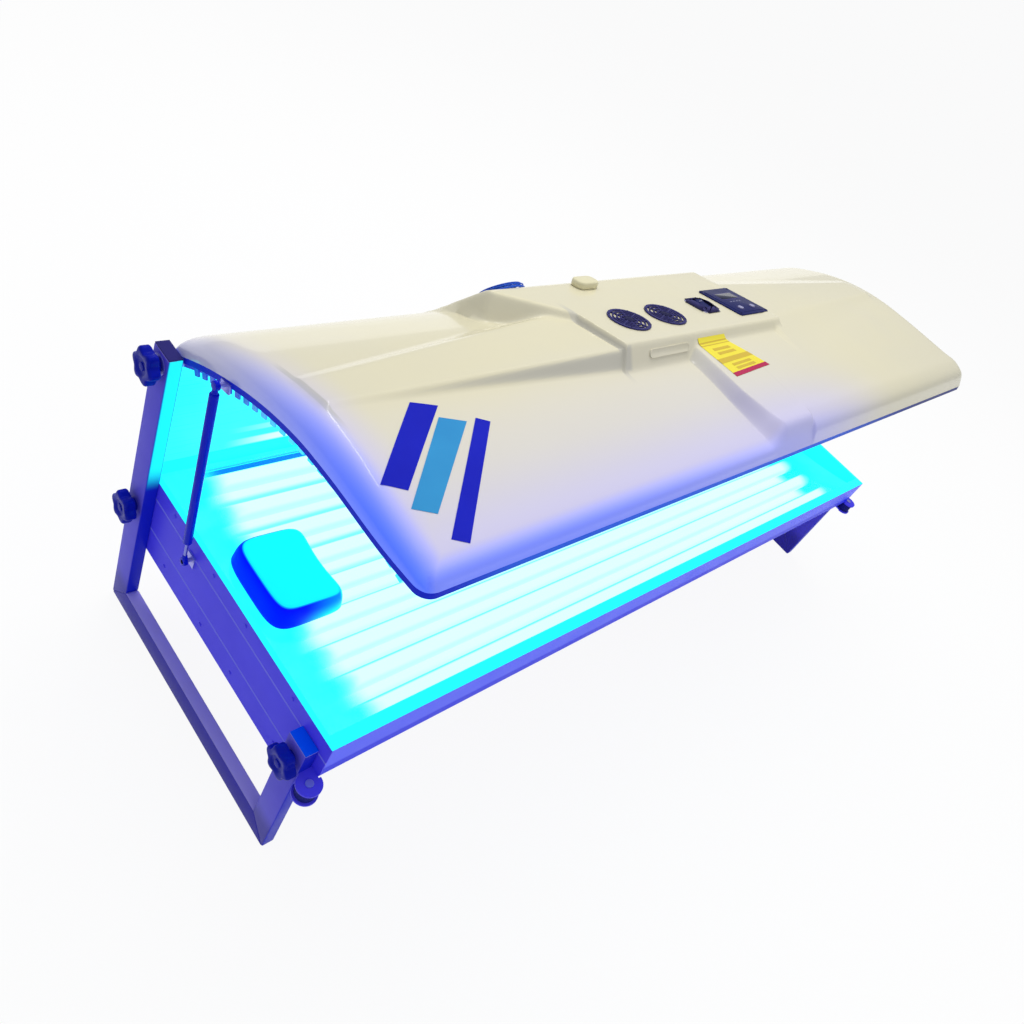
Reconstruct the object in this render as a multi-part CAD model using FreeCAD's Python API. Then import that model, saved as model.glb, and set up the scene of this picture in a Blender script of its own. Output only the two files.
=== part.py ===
# Clamshell tanning bed: a lamp bed on two U-shaped tube frames, with a lamp canopy hinged on the rear posts.
# X runs from the head end (-X) to the foot end (+X), -Y is the open front, +Z is up, all in millimetres.
# The canopy is drawn closed, as (x, reach, height): reach runs forward from the hinge axis and height up
# from it. It is then swung open about that axis.
import FreeCAD
import Part
import math
import os

Vec = FreeCAD.Vector
Placement = FreeCAD.Placement
Rotation = FreeCAD.Rotation
x_axis = Vec(1, 0, 0)
y_axis = Vec(0, 1, 0)
z_axis = Vec(0, 0, 1)

# Fits
running_gap = 0.05        # radial, of every bore that turns or slides on a pin
face_gap = 0.3            # between faces of pieces that move past each other

# Lamps
lamp_length = 1764.0      # over the pins
lamp_radius = 19.0
lamp_glass = 1.0
lamp_cap = 12.0
pin_length = 7.0
pin_radius = 1.2
pin_spacing = 12.7
holder_depth = 22.0
holder_width = 30.0
holder_rise = 16.0        # past the lamp axis, on the side of the acrylic
bed_lamp_count = 9
bed_lamp_margin = 26.5    # from an outer lamp's axis to the lip of the rail
canopy_lamp_count = 12
canopy_lamp_pitch = 49.0

# Bed
bed_end_room = 58.0       # from a lamp's pins to the end of the bed
bed_width = 645.0
bed_top = 354.0
rail_height = 78.0
rail_flange = 24.0
rail_sheet = 2.0
ledge_width = 12.0
panel_sheet = 2.0
panel_flange = 8.0
crease_rises = (60.0, 137.0)   # of the two creases pressed in an end panel, above the belly
crease_width = 4.0
crease_proud = 1.0
crease_end_gap = 6.0
belly_depth = 100.0       # below the rails
belly_lean = 32.0         # of each side, over that depth
tray_sheet = 1.5
tray_flange = 20.0
tray_inset = 1.0
reflector_sheet = 1.0
dish_radius = 1250.0
dish_depth = 66.0         # from the bed's top to the acrylic on the centre line
dish_sheet = 4.0
dish_edge_gap = 0.5
bed_lamp_drop = 26.0      # from the top of the acrylic to a lamp's axis
bed_lamp_clearance = 8.0  # from a lamp to the reflector
bed_holder_depth = 29.0   # behind a lamp's axis, before it is cut to the reflector
ballast_length = 200.0
bed_ballast_count = 5
bed_ballast_pitch = 330.0
bed_ballast_width = 60.0
bed_ballast_height = 40.0

# End frames
post_inset = 20.5         # from the bed's side to the outer face of a post
tube_depth = 50.0
tube_width = 25.0
tube_wall = 2.0
rear_post_rise = 278.0    # above the bed's top
front_post_drop = 34.0    # below the bed's top
plug_depth = 18.0
plug_proud = 1.5
pivot_below_top = 24.0
clamp_drop = 35.0         # below the top of a front post
rear_panel_rise = 231.0
rear_panel_sheet = 2.0

# Studs, nuts and knobs
pivot_stud_radius = 5.0
clamp_stud_radius = 4.0
stud_hole_gap = 0.5
stud_grip = 19.0          # inside the knob
nut_width = 16.0
nut_depth = 9.0
washer_radius = 18.0
washer_sheet = 1.5
spacer_radius = 9.0
knob_core_radius = 24.0
knob_lobe_radius = 9.0
knob_lobe_centre = 23.0
knob_lobes = 6
knob_head = 20.0
knob_neck = 8.0
knob_neck_radius = 14.0

# Transport wheels
wheel_radius = 18.0
wheel_width = 24.0
wheel_axis_out = 18.0     # outside the bed's end
wheel_axis_front = 23.0   # in front of the post
wheel_drop = 30.0         # below the clamp studs
fork_sheet = 4.0
fork_back = 3.0
fork_radius = 22.0
axle_radius = 4.0
axle_head_radius = 7.0
axle_head = 2.0
fork_bed_gap = 1.0

# Gas struts
strut_low_rear = 115.0         # y of the pivot on the bed
strut_low_drop = 49.0          # below the bed's top
strut_high = (149.0, 41.0)     # reach and height of the pivot on the canopy
strut_plate = 3.0
strut_plate_size = 24.0
strut_stud_radius = 4.0
strut_stand_off = 10.0         # from the bed's end to the eye
strut_eye_width = 8.0
strut_eye_radius = 8.0
rod_radius = 3.0
rod_length = 180.0
piston_length = 10.0
cylinder_radius = 7.5
cylinder_wall = 1.25
cylinder_start = 46.0          # along the strut, from its lower pivot
cylinder_end_gap = 14.0        # from the cylinder to its upper pivot
gland_length = 12.0
strut_neck_radius = 4.0

# Canopy
open_angle = 12.5
canopy_end_gap = 2.0           # from the end of the canopy to the end of the bed
rear_edge = -8.0
front_edge = 627.0
rim_rear = 10.0
rim_front = 6.0
shell_wall = 4.0
end_run = 45.0                 # length of the rounded end, over which the shell falls to its rim
end_steps = 4
step_x = -70.0                 # where the raised foot half begins
cavity_low = -60.0
trim_depth = 11.0
trim_side = 1.0                # the trim stands in from the shell's outside by this much
trim_width = 7.0
trim_rear = 22.0               # inner edges of the trim's rear and front strips
trim_front = 600.0
trim_corner = 22.0             # left free between the rear strip and the pivot brackets

# The arched rim of an end, as (reach, height) of arc ends and the points between them
rim_arch = (
    (rear_edge, rim_rear), (130.0, 46.0), (290.0, 61.0), (360.0, 56.0), (430.0, 41.5), (520.0, 20.5),
    (front_edge, rim_front),
)
# Outer skins: at the rim of an end, over the head half and over the raised foot half
rim_skin = (
    (rear_edge, rim_rear), (rear_edge + 4.0, 18.0), (22.0, 25.0), (130.0, 50.0), (290.0, 65.0),
    (345.0, 63.5), (400.0, 54.0), (front_edge - 27.0, 14.0), (front_edge - 8.0, 11.0),
    (front_edge, rim_front),
)
head_skin = (
    (rear_edge, rim_rear), (rear_edge + 4.0, 35.0), (22.0, 52.0), (130.0, 84.0), (290.0, 97.0),
    (345.0, 95.0), (400.0, 86.0), (front_edge - 27.0, 32.0), (front_edge - 8.0, 24.0),
    (front_edge, rim_front),
)
foot_skin = (
    (rear_edge, rim_rear), (rear_edge + 5.0, 46.0), (28.0, 76.0), (130.0, 112.0), (290.0, 124.0),
    (350.0, 117.0), (410.0, 105.0), (front_edge - 38.0, 62.0), (front_edge - 13.0, 44.0),
    (front_edge, rim_front),
)
# The raised ridges on each side of the top box: sections at their tip and at the box
head_ridge_tip = ((225.0, 80.0), (256.0, 100.5), (327.0, 101.0), (347.0, 84.0))
head_ridge_root = ((120.0, 70.0), (196.0, 123.0), (358.0, 126.0), (392.0, 70.0))
head_ridge_inset = 45.0        # from the canopy's end to the tip of the ridge
foot_ridge_tip = ((200.0, 90.0), (240.0, 123.0), (308.0, 123.0), (340.0, 90.0))
foot_ridge_root = ((110.0, 90.0), (170.0, 130.0), (340.0, 130.0), (420.0, 90.0))
foot_ridge_inset = 78.0

# Box on top of the canopy, for the fans and the controls
box_top = 135.0
box_foot = 46.0
box_half = 281.0
box_front = 360.0
box_rear = 110.0
box_corner = -400.0            # rear corner at the head side, where the box flares out
box_notch = 235.0              # reach at which the flare begins
box_flare_end = 118.0          # reach at which it ends, short of the rear corner
box_side_run = 20.0
box_front_run = 45.0
box_rear_run = 101.0
box_flare_run = 55.0
box_corner_run = 40.0          # in X, of the side between the flare and the rear corner

# Canopy lamps lie on an arc about this centre
arc_reach = 289.0
arc_height = -796.0
lamp_arc = 852.0
lamp_mid_reach = 311.0
canopy_sheet = 3.0
canopy_lamp_gap = 3.0          # from a lamp to the acrylic
canopy_back_gap = 2.0          # from a lamp to the reflector
canopy_end_room = 23.0         # from a lamp's pins to the ends of the acrylic and the reflector
acrylic_edge_gap = 0.2
acrylic_ledge = 12.0
comb_sheet = 3.0
comb_above = 10.0              # the comb plate's edges and tooth tips, from the lamp arc
comb_below = 6.0
comb_tip = 21.0
comb_start = 30.0
tooth_width = 12.0
bracket_sheet = 4.0
bracket_boss_radius = 9.0
bracket_arm = ((0.0, 9.0), (24.0, 34.0), (70.0, 34.0), (70.0, 14.0), (0.0, -9.0))
canopy_ballasts = ((-450.0, 280.0), (450.0, 280.0), (700.0, 280.0), (-90.0, 165.0))
canopy_ballast_width = 36.0
canopy_ballast_top = 100.0

# Fans
fan_middle = -121.0
fan_pitch = 120.0
fan_reach = 283.0
fan_size = 92.0
fan_depth = 38.0
fan_bore = 42.0
fan_hub_radius = 19.0
fan_blades = 7
fan_blade_sheet = 2.0
fan_blade_pitch = 35.0
fan_tip_gap = 3.0
fan_floor = 3.0
fan_shaft_radius = 4.0
fan_strut_width = 6.0
grille_radius = 45.0
grille_sheet = 3.0
grille_rim = 4.5
grille_rings = (11.0, 21.5, 32.0)
grille_ring_width = 4.5
rear_fan_x = -318.0
rear_fan_drop = 50.0         # down the rear slope, from the box's top edge
rear_fan_size = 80.0
rear_fan_depth = 20.0
rear_fan_bore = 37.0
rear_fan_hub_radius = 14.0
guard_radius = 49.0
guard_proud = 14.0
guard_wire = 3.0
guard_rings = (18.0, 32.0)

# Controls
timer_centre = (221.0, 269.0)
timer_size = (117.0, 122.0)
timer_body = (96.0, 100.0)
timer_body_depth = 24.0
panel_proud = 4.0
button_radius = 7.0
button_proud = 2.5
button_sink = 4.0
button_travel = 1.5
button_spread = 24.0           # along X from the timer's centre
button_reach = 34.0            # forward of the timer's centre
switch_centre = (97.0, 267.0)
switch_size = (54.0, 58.0)
switch_proud = 3.0
rocker_width = 24.0
rocker_half = 16.0
rocker_crown = 5.0
rocker_waist = 3.5
rocker_foot = (13.0, 10.0)
rocker_tilt = 8.0
rocker_pin_radius = 1.5
rocker_clearance = 1.5
switch_wall = 3.0
cover_place = (-148.0, 132.0)
cover_size = (60.0, 36.0)
cover_height = 15.0
cover_corner = 12.0
cover_wall = 2.5

# Mains inlet in the foot panel
inlet_rear = 200.0
inlet_rise = 30.0              # above the belly
inlet_body = (28.0, 22.0)
inlet_flange = (44.0, 32.0)
inlet_flange_sheet = 2.0
inlet_depth = 26.0
inlet_wall = 2.0
inlet_pin = (5.0, 2.0, 14.0)
inlet_pin_pitch = 8.0

# Headrest
rest_end_gap = 59.0            # from the end of the bed
rest_offset = 20.0             # from the bed's centre line
rest_size = (156.0, 186.0)
rest_height = 52.0             # above the acrylic on the centre line
rest_corner = 26.0
rest_edge = 14.0
rest_hollow_radius = 260.0
rest_hollow_depth = 14.0

# Worked out from the sizes above
bed_end = lamp_length / 2 + bed_end_room
bed_side = bed_width / 2
rail_foot = bed_top - rail_height
belly_low = rail_foot - belly_depth
dish_low = bed_top - dish_depth
rest_top = dish_low + rest_height
rest_centre = (rest_end_gap + rest_size[0] / 2 - bed_end, rest_offset)
dish_side = bed_side - rail_flange
dish_centre = dish_low + dish_radius
bed_lamp_arc = dish_radius + bed_lamp_drop
bed_lamp_pitch = 2 * (dish_side - bed_lamp_margin) / (bed_lamp_count - 1)
reflector_arc = bed_lamp_arc + lamp_radius + bed_lamp_clearance
glass_end = lamp_length / 2 - pin_length
post_out = bed_end + tube_width
post_rear = bed_side - post_inset
post_mid = post_rear - tube_depth / 2
rear_post_height = bed_top + rear_post_rise
rear_panel_top = bed_top + rear_panel_rise
front_post_height = bed_top - front_post_drop
clamp_height = front_post_height - clamp_drop
wheel_height = clamp_height - wheel_drop
strut_low = (strut_low_rear, bed_top - strut_low_drop)
inlet_place = (inlet_rear, belly_low + inlet_rise)
hinge_y = post_mid
hinge_z = rear_post_height - pivot_below_top
canopy_end = bed_end - canopy_end_gap
canopy_inside = lamp_length + 2 * canopy_end_room
head_ridge_end = head_ridge_inset - canopy_end
foot_ridge_end = canopy_end - foot_ridge_inset
trim_out = canopy_end - trim_side
comb_out = trim_out - trim_width
bracket_out = comb_out - comb_sheet
strut_eye_x = bed_end + strut_stand_off
wheel_x = bed_end + wheel_axis_out
wheel_y = -post_rear - wheel_axis_front
fan_places = (fan_middle - fan_pitch / 2, fan_middle + fan_pitch / 2)
button_places = (-button_spread, button_spread)
# The origin lies on the floor in the middle of the whole: half way between fork tips and rear rail
origin_shift = (fork_radius - wheel_y - bed_side) / 2


def point(x, place):
    return Vec(x, place[0], place[1])


def outline(x, start, steps):
    """Closed wire across X: each step is the end of a line, or a pair of a point on an arc and its end."""
    edges = []
    here = start
    for step in list(steps) + [start]:
        if isinstance(step[0], tuple):
            edges.append(Part.Arc(point(x, here), point(x, step[0]), point(x, step[1])).toShape())
            here = step[1]
        elif step != here:
            edges.append(Part.makeLine(point(x, here), point(x, step)))
            here = step
    return Part.Wire(edges)


def extruded(start, steps, x0, x1):
    return Part.Face(outline(x0, start, steps)).extrude(Vec(x1 - x0, 0, 0))


def prism(corners, x0, x1):
    return extruded(corners[0], corners[1:], x0, x1)


def box(x0, x1, y0, y1, z0, z1):
    return Part.makeBox(x1 - x0, y1 - y0, z1 - z0, Vec(x0, y0, z0))


def block(centre, size, z0, z1):
    """Upright block on a centre and a size in X and Y."""
    x, y = centre
    return box(x - size[0] / 2, x + size[0] / 2, y - size[1] / 2, y + size[1] / 2, z0, z1)


def bar(radius, x0, x1, place):
    """Round bar along X."""
    return Part.makeCylinder(radius, x1 - x0, point(x0, place), x_axis)


def pillar(radius, x, y, z0, z1):
    return Part.makeCylinder(radius, z1 - z0, Vec(x, y, z0), z_axis)


def ring(outer, inner, x0, x1, place):
    return bar(outer, x0, x1, place).cut(bar(inner, x0, x1, place))


def both_ends(shape):
    """The piece and its mirror image at the other end, as separate solids."""
    return Part.Compound([shape, shape.mirror(Vec(0, 0, 0), x_axis)])


def offset_points(points, distance, closed=False):
    """Points of a path moved to its left by a distance, mitred at the bends."""
    count = len(points)
    moved = []
    for i in range(count):
        normals = []
        for a, b in ((i - 1, i), (i, i + 1)):
            if closed or (a >= 0 and b < count):
                p = points[a % count]
                q = points[b % count]
                run = math.dist(p, q)
                normals.append(((p[1] - q[1]) / run, (q[0] - p[0]) / run))
        first = normals[0]
        last = normals[-1]
        stretch = distance / (1 + first[0] * last[0] + first[1] * last[1])
        x, y = points[i]
        moved.append((x + stretch * (first[0] + last[0]), y + stretch * (first[1] + last[1])))
    return moved


def folded(path, sheet, x0, x1):
    """Folded sheet along X: the path is one face, and the metal lies to its left."""
    return prism(list(path) + offset_points(path, sheet)[::-1], x0, x1)


def mirrored_y(shape):
    return shape.mirror(Vec(0, 0, 0), y_axis)


def on_arc(centre, radius, y):
    """Height of the upper side of a circle across X."""
    return centre[1] + math.sqrt(radius ** 2 - (y - centre[0]) ** 2)


# End frames

def post(side, height, holes):
    """Upright of an end frame at the head end: side is 1 for the rear one and -1 for the front one."""
    outer = post_rear
    inner = post_rear - tube_depth
    walls = prism([(side * outer, 0), (side * outer, height), (side * inner, height),
                   (side * inner, tube_depth)], -post_out, -bed_end)
    bore = prism([(side * (outer - tube_wall), tube_wall), (side * (outer - tube_wall), height),
                  (side * (inner + tube_wall), height), (side * (inner + tube_wall), tube_depth - tube_wall)],
                 -post_out + tube_wall, -bed_end - tube_wall)
    shape = walls.cut(bore)
    for radius, z in holes:
        shape = shape.cut(bar(radius + stud_hole_gap, -post_out, -bed_end, (side * post_mid, z)))
    return shape


def rear_post():
    return post(1, rear_post_height, ((pivot_stud_radius, hinge_z), (clamp_stud_radius, clamp_height)))


def front_post():
    return post(-1, front_post_height, ((clamp_stud_radius, clamp_height),))


def floor_rail():
    outer = post_rear
    inner = post_rear - tube_depth
    walls = prism([(outer, 0), (inner, tube_depth), (-inner, tube_depth), (-outer, 0)], -post_out, -bed_end)
    bore = prism([(outer - tube_wall, tube_wall), (inner + tube_wall, tube_depth - tube_wall),
                  (-inner - tube_wall, tube_depth - tube_wall), (-outer + tube_wall, tube_wall)],
                 -post_out + tube_wall, -bed_end - tube_wall)
    return walls.cut(bore)


def end_plugs():
    """Plastic plugs in the open tops of the four posts."""
    plugs = []
    for side, height in ((1, rear_post_height), (-1, front_post_height)):
        plugs.append(block((-bed_end - tube_width / 2, side * post_mid),
                           (tube_width - 2 * tube_wall, tube_depth - 2 * tube_wall),
                           height - plug_depth, height + plug_proud))
    return both_ends(Part.Compound(plugs))


# Bed

def dish_bottom(y):
    return dish_centre - math.sqrt((dish_radius + dish_sheet) ** 2 - y ** 2)


def bed_front_rail():
    """Folded rail: foot flange, wall, top flange, inner lip and the ledge that carries the acrylic."""
    ledge = dish_bottom(dish_side - ledge_width)
    path = [(-dish_side, rail_foot), (-bed_side, rail_foot), (-bed_side, bed_top), (-dish_side, bed_top),
            (-dish_side, ledge), (-dish_side + ledge_width, ledge)]
    return folded(path, -rail_sheet, -bed_end + panel_sheet, bed_end - panel_sheet)


def end_panel():
    """Six-sided plate at the head end: two pressed creases, a flat for the strut and a turned top edge."""
    inside = -bed_end + panel_sheet
    shape = prism([(-bed_side, bed_top), (-bed_side, rail_foot), (-bed_side + belly_lean, belly_low),
                   (bed_side - belly_lean, belly_low), (bed_side, rail_foot), (bed_side, bed_top)],
                  -bed_end, inside)
    shape = shape.fuse(box(inside, inside + panel_flange, -dish_side, dish_side,
                           bed_top - panel_sheet, bed_top))
    reach = post_rear - tube_depth - crease_end_gap
    for rise in crease_rises:
        z = belly_low + rise
        half = crease_width / 2
        crest = [(-bed_end, z - half), (-bed_end - crease_proud, z), (-bed_end, z + half)]
        wire = Part.makePolygon([Vec(x, -reach, h) for x, h in crest + crest[:1]])
        shape = shape.fuse(Part.Face(wire).extrude(Vec(0, 2 * reach, 0)))
    y, z = strut_low
    half = strut_plate_size / 2
    seat = box(-bed_end - crease_proud, -bed_end, y - half, y + half, z - half, z + half)
    return shape.cut(seat).removeSplitter()


def bed_foot_panel():
    """The other end plate, with the opening of the mains inlet."""
    shape = end_panel().mirror(Vec(0, 0, 0), x_axis)
    y, z = inlet_place
    return shape.cut(box(bed_end - panel_sheet, bed_end, y - inlet_body[0] / 2, y + inlet_body[0] / 2,
                         z - inlet_body[1] / 2, z + inlet_body[1] / 2))


def belly_tray():
    top = rail_foot - reflector_sheet
    side = bed_side - tray_inset
    path = [(-side + tray_flange, top), (-side, top), (-bed_side + belly_lean, belly_low),
            (bed_side - belly_lean, belly_low), (side, top), (side - tray_flange, top)]
    return folded(path, tray_sheet, -bed_end + panel_sheet, bed_end - panel_sheet)


def bed_reflector():
    """Bright sheet that curves under the lamps and hangs from the feet of the rails."""
    side = bed_side - tray_inset
    under = rail_foot - reflector_sheet
    wall = dish_side + reflector_sheet
    back = reflector_arc + reflector_sheet
    edge = dish_centre - math.sqrt(reflector_arc ** 2 - dish_side ** 2)
    back_edge = dish_centre - math.sqrt(back ** 2 - wall ** 2)
    low = dish_centre - reflector_arc
    steps = [(-dish_side, rail_foot), (-dish_side, edge), ((0.0, low), (dish_side, edge)),
             (dish_side, rail_foot), (side, rail_foot), (side, under), (wall, under), (wall, back_edge),
             ((0.0, low - reflector_sheet), (-wall, back_edge)), (-wall, under), (-side, under)]
    return extruded((-side, rail_foot), steps, -bed_end + panel_sheet, bed_end - panel_sheet)


def bed_acrylic():
    side = dish_side - dish_edge_gap
    top = dish_centre - math.sqrt(dish_radius ** 2 - side ** 2)
    steps = [((0.0, dish_low), (side, top)), (side, dish_bottom(side)),
             ((0.0, dish_low - dish_sheet), (-side, dish_bottom(side)))]
    return extruded((-side, top), steps, -bed_end + panel_sheet, bed_end - panel_sheet)


def lamp():
    """One lamp along X through the origin: a sealed glass tube with a cap and two pins at each end."""
    shape = bar(lamp_radius, -glass_end, glass_end, (0, 0))
    for y in (-pin_spacing / 2, pin_spacing / 2):
        for x in (-lamp_length / 2, glass_end):
            shape = shape.fuse(bar(pin_radius, x, x + pin_length, (y, 0)))
    inside = bar(lamp_radius - lamp_glass, -glass_end + lamp_cap, glass_end - lamp_cap, (0, 0))
    return shape.removeSplitter().cut(inside)


def lampholder(back):
    """Holder at the head end of a lamp on the origin: it rises past the axis and goes back behind it."""
    x1 = -glass_end - face_gap
    shape = box(x1 - holder_depth, x1, -holder_width / 2, holder_width / 2, -back, holder_rise)
    for y in (-pin_spacing / 2, pin_spacing / 2):
        shape = shape.cut(bar(pin_radius, -lamp_length / 2, x1, (y, 0)))
    return shape


def along_bed(shape):
    """Copies of a piece on the origin, one at each bed lamp, turned to face the dish."""
    copies = []
    for i in range(bed_lamp_count):
        angle = (i - (bed_lamp_count - 1) / 2) * bed_lamp_pitch / bed_lamp_arc
        place = Vec(0, bed_lamp_arc * math.sin(angle), dish_centre - bed_lamp_arc * math.cos(angle))
        copy = shape.copy()
        copy.Placement = Placement(place, Rotation(x_axis, math.degrees(angle)))
        copies.append(copy)
    return copies


def bed_lampholders():
    """Holders that stand on the reflector."""
    inside = bar(reflector_arc, -bed_end, 0, (0, dish_centre))
    holders = [copy.common(inside) for copy in along_bed(lampholder(bed_holder_depth))]
    return both_ends(Part.Compound(holders))


def bed_ballasts():
    floor = belly_low + tray_sheet
    blocks = []
    for i in range(bed_ballast_count):
        x = (i - (bed_ballast_count - 1) / 2) * bed_ballast_pitch
        blocks.append(block((x, 0), (ballast_length, bed_ballast_width), floor, floor + bed_ballast_height))
    return Part.Compound(blocks)


def mains_inlet():
    """Three-pin socket in the foot panel."""
    y, z = inlet_place
    wide, tall = inlet_body
    face = bed_end + inlet_flange_sheet
    shape = box(face - inlet_depth, face, y - wide / 2, y + wide / 2, z - tall / 2, z + tall / 2)
    shape = shape.fuse(box(bed_end, face, y - inlet_flange[0] / 2, y + inlet_flange[0] / 2,
                           z - inlet_flange[1] / 2, z + inlet_flange[1] / 2))
    floor = face - inlet_depth + inlet_wall
    shape = shape.cut(box(floor, face, y - wide / 2 + inlet_wall, y + wide / 2 - inlet_wall,
                          z - tall / 2 + inlet_wall, z + tall / 2 - inlet_wall))
    tall, wide, long = inlet_pin
    for i in (-1, 0, 1):
        pin_y = y + i * inlet_pin_pitch
        shape = shape.fuse(box(floor, floor + long, pin_y - wide / 2, pin_y + wide / 2,
                               z - tall / 2, z + tall / 2))
    return shape.removeSplitter()


def rear_panel():
    """Thin bright panel between the rear posts, standing on the rear rail."""
    return box(-bed_end, bed_end, post_rear - rear_panel_sheet, post_rear, bed_top, rear_panel_top)


# Studs, nuts and knobs

def hexagon(width, x0, x1, place):
    radius = width / math.sqrt(3)
    corners = []
    for i in range(6):
        angle = math.radians(60 * i)
        corners.append((place[0] + radius * math.cos(angle), place[1] + radius * math.sin(angle)))
    return prism(corners, x0, x1)


def pivot_hardware():
    """At each rear post: the stud that the canopy turns on, its locknut, a spacer and the knob's washer."""
    place = (hinge_y, hinge_z)
    nut_out = -bracket_out + bracket_sheet + face_gap
    washer_in = -post_out - washer_sheet
    stud = bar(pivot_stud_radius, washer_in - face_gap - stud_grip, nut_out + nut_depth, place)
    nut = hexagon(nut_width, nut_out, nut_out + nut_depth, place)
    nut = nut.cut(bar(pivot_stud_radius, nut_out, nut_out + nut_depth, place))
    spacer = ring(spacer_radius, pivot_stud_radius, -bed_end, -canopy_end - face_gap, place)
    washer = ring(washer_radius, pivot_stud_radius, washer_in, -post_out, place)
    return both_ends(Part.Compound([stud, nut, spacer, washer]))


def clamp_studs():
    """Studs welded to the bed's end panels, which pass through the posts."""
    tip = -post_out - face_gap - stud_grip
    studs = [bar(clamp_stud_radius, tip, -bed_end, (side * post_mid, clamp_height)) for side in (-1, 1)]
    return both_ends(Part.Compound(studs))


def knob(bore_radius, x, place):
    """Lobed hand knob at the head end: x is its inner face, and it reaches outwards from there."""
    neck = x - knob_neck
    shape = bar(knob_core_radius, neck - knob_head, neck, place)
    for i in range(knob_lobes):
        angle = 2 * math.pi * i / knob_lobes
        lobe = (place[0] + knob_lobe_centre * math.cos(angle), place[1] + knob_lobe_centre * math.sin(angle))
        shape = shape.fuse(bar(knob_lobe_radius, neck - knob_head, neck, lobe))
    shape = shape.fuse(bar(knob_neck_radius, neck, x, place))
    bore = bar(bore_radius + running_gap, x - stud_grip - face_gap, x, place)
    return shape.cut(bore).removeSplitter()


def canopy_knob():
    return knob(pivot_stud_radius, -post_out - washer_sheet - face_gap, (hinge_y, hinge_z))


def bed_knob(side):
    return knob(clamp_stud_radius, -post_out - face_gap, (side * post_mid, clamp_height))


# Transport wheels

def wheel_fork():
    """Two rounded plates and a back plate, welded to the front of the post."""
    half = wheel_width / 2 + face_gap
    back = box(-post_out, -bed_end, -post_rear - fork_back, -post_rear,
               wheel_height - half - fork_sheet, wheel_height + half + fork_sheet)
    shape = back
    for z in (wheel_height - half - fork_sheet, wheel_height + half):
        plate = pillar(fork_radius, -wheel_x, wheel_y, z, z + fork_sheet)
        plate = plate.fuse(box(-post_out, -bed_end, wheel_y, -post_rear, z, z + fork_sheet))
        shape = shape.fuse(plate)
    shape = shape.cut(box(-bed_end, -bed_end + fork_radius, -bed_side - fork_bed_gap, -post_rear,
                          wheel_height - half - fork_sheet, wheel_height + half + fork_sheet))
    shape = shape.cut(pillar(axle_radius, -wheel_x, wheel_y, wheel_height - half - fork_sheet,
                             wheel_height + half + fork_sheet))
    return shape.removeSplitter()


def wheel_axle():
    reach = wheel_width / 2 + face_gap + fork_sheet
    low = wheel_height - reach - axle_head
    high = wheel_height + reach
    shape = pillar(axle_radius, -wheel_x, wheel_y, low, high + axle_head)
    for z in (low, high):
        shape = shape.fuse(pillar(axle_head_radius, -wheel_x, wheel_y, z, z + axle_head))
    return shape.removeSplitter()


def wheel():
    low = wheel_height - wheel_width / 2
    high = wheel_height + wheel_width / 2
    tyre = pillar(wheel_radius, -wheel_x, wheel_y, low, high)
    return tyre.cut(pillar(axle_radius + running_gap, -wheel_x, wheel_y, low, high))


# Gas struts

def strut_top():
    """Upper pivot with the canopy at rest, as y and z."""
    turn = math.radians(open_angle)
    reach, height = strut_high
    return (hinge_y - reach * math.cos(turn) + height * math.sin(turn),
            hinge_z + reach * math.sin(turn) + height * math.cos(turn))


def strut_place(shape):
    """Puts a piece drawn upright on the lower pivot into the line of the strut."""
    high = strut_top()
    lean = math.degrees(math.atan2(high[0] - strut_low[0], high[1] - strut_low[1]))
    shape.Placement = Placement(Vec(0, strut_low[0], strut_low[1]), Rotation(x_axis, -lean))
    return shape


def strut_low_bracket():
    y, z = strut_low
    half = strut_plate_size / 2
    shape = box(-bed_end - strut_plate, -bed_end, y - half, y + half, z - half, z + half)
    stud = bar(strut_stud_radius, -strut_eye_x - strut_eye_width, -bed_end, strut_low)
    return shape.fuse(stud).removeSplitter()


def strut_rod():
    """Rod with the eye that turns on the bed's stud and the piston at its other end."""
    x = -strut_eye_x - strut_eye_width / 2
    shape = pillar(rod_radius, x, 0, 0, rod_length)
    shape = shape.fuse(bar(strut_eye_radius, -strut_eye_x - strut_eye_width, -strut_eye_x, (0, 0)))
    piston_radius = cylinder_radius - cylinder_wall - running_gap
    shape = shape.fuse(pillar(piston_radius, x, 0, rod_length - piston_length, rod_length))
    bore = bar(strut_stud_radius + running_gap, -strut_eye_x - strut_eye_width, -strut_eye_x, (0, 0))
    return strut_place(shape.cut(bore).removeSplitter())


def strut_cylinder():
    """Pressure tube with its gland at the bottom and a socket that faces the canopy's stud at the top."""
    x = -strut_eye_x - strut_eye_width / 2
    length = math.dist(strut_low, strut_top())
    end = length - cylinder_end_gap
    bore_radius = cylinder_radius - cylinder_wall
    shape = pillar(cylinder_radius, x, 0, cylinder_start, end)
    shape = shape.cut(pillar(bore_radius, x, 0, cylinder_start + gland_length, end - gland_length))
    shape = shape.cut(pillar(rod_radius + running_gap, x, 0, cylinder_start, cylinder_start + gland_length))
    outer = -strut_eye_x - strut_eye_width
    slab = box(outer, -strut_eye_x, -strut_neck_radius, strut_neck_radius, end, length)
    shape = shape.fuse(pillar(strut_neck_radius, x, 0, end, length).common(slab))
    shape = shape.fuse(bar(strut_eye_radius, outer, -strut_eye_x, (0, length)))
    return strut_place(shape.removeSplitter())


# Canopy, drawn closed as (x, -reach, height) on the hinge axis

def flip(points):
    """Reach and height to y and z."""
    return [(-reach, height) for reach, height in points]


def swung(shape):
    """Carries a canopy piece to the hinge and opens it."""
    hinge = Placement(Vec(0, hinge_y, hinge_z), Rotation(x_axis, -open_angle))
    shape.Placement = hinge.multiply(shape.Placement)
    return shape


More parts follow.
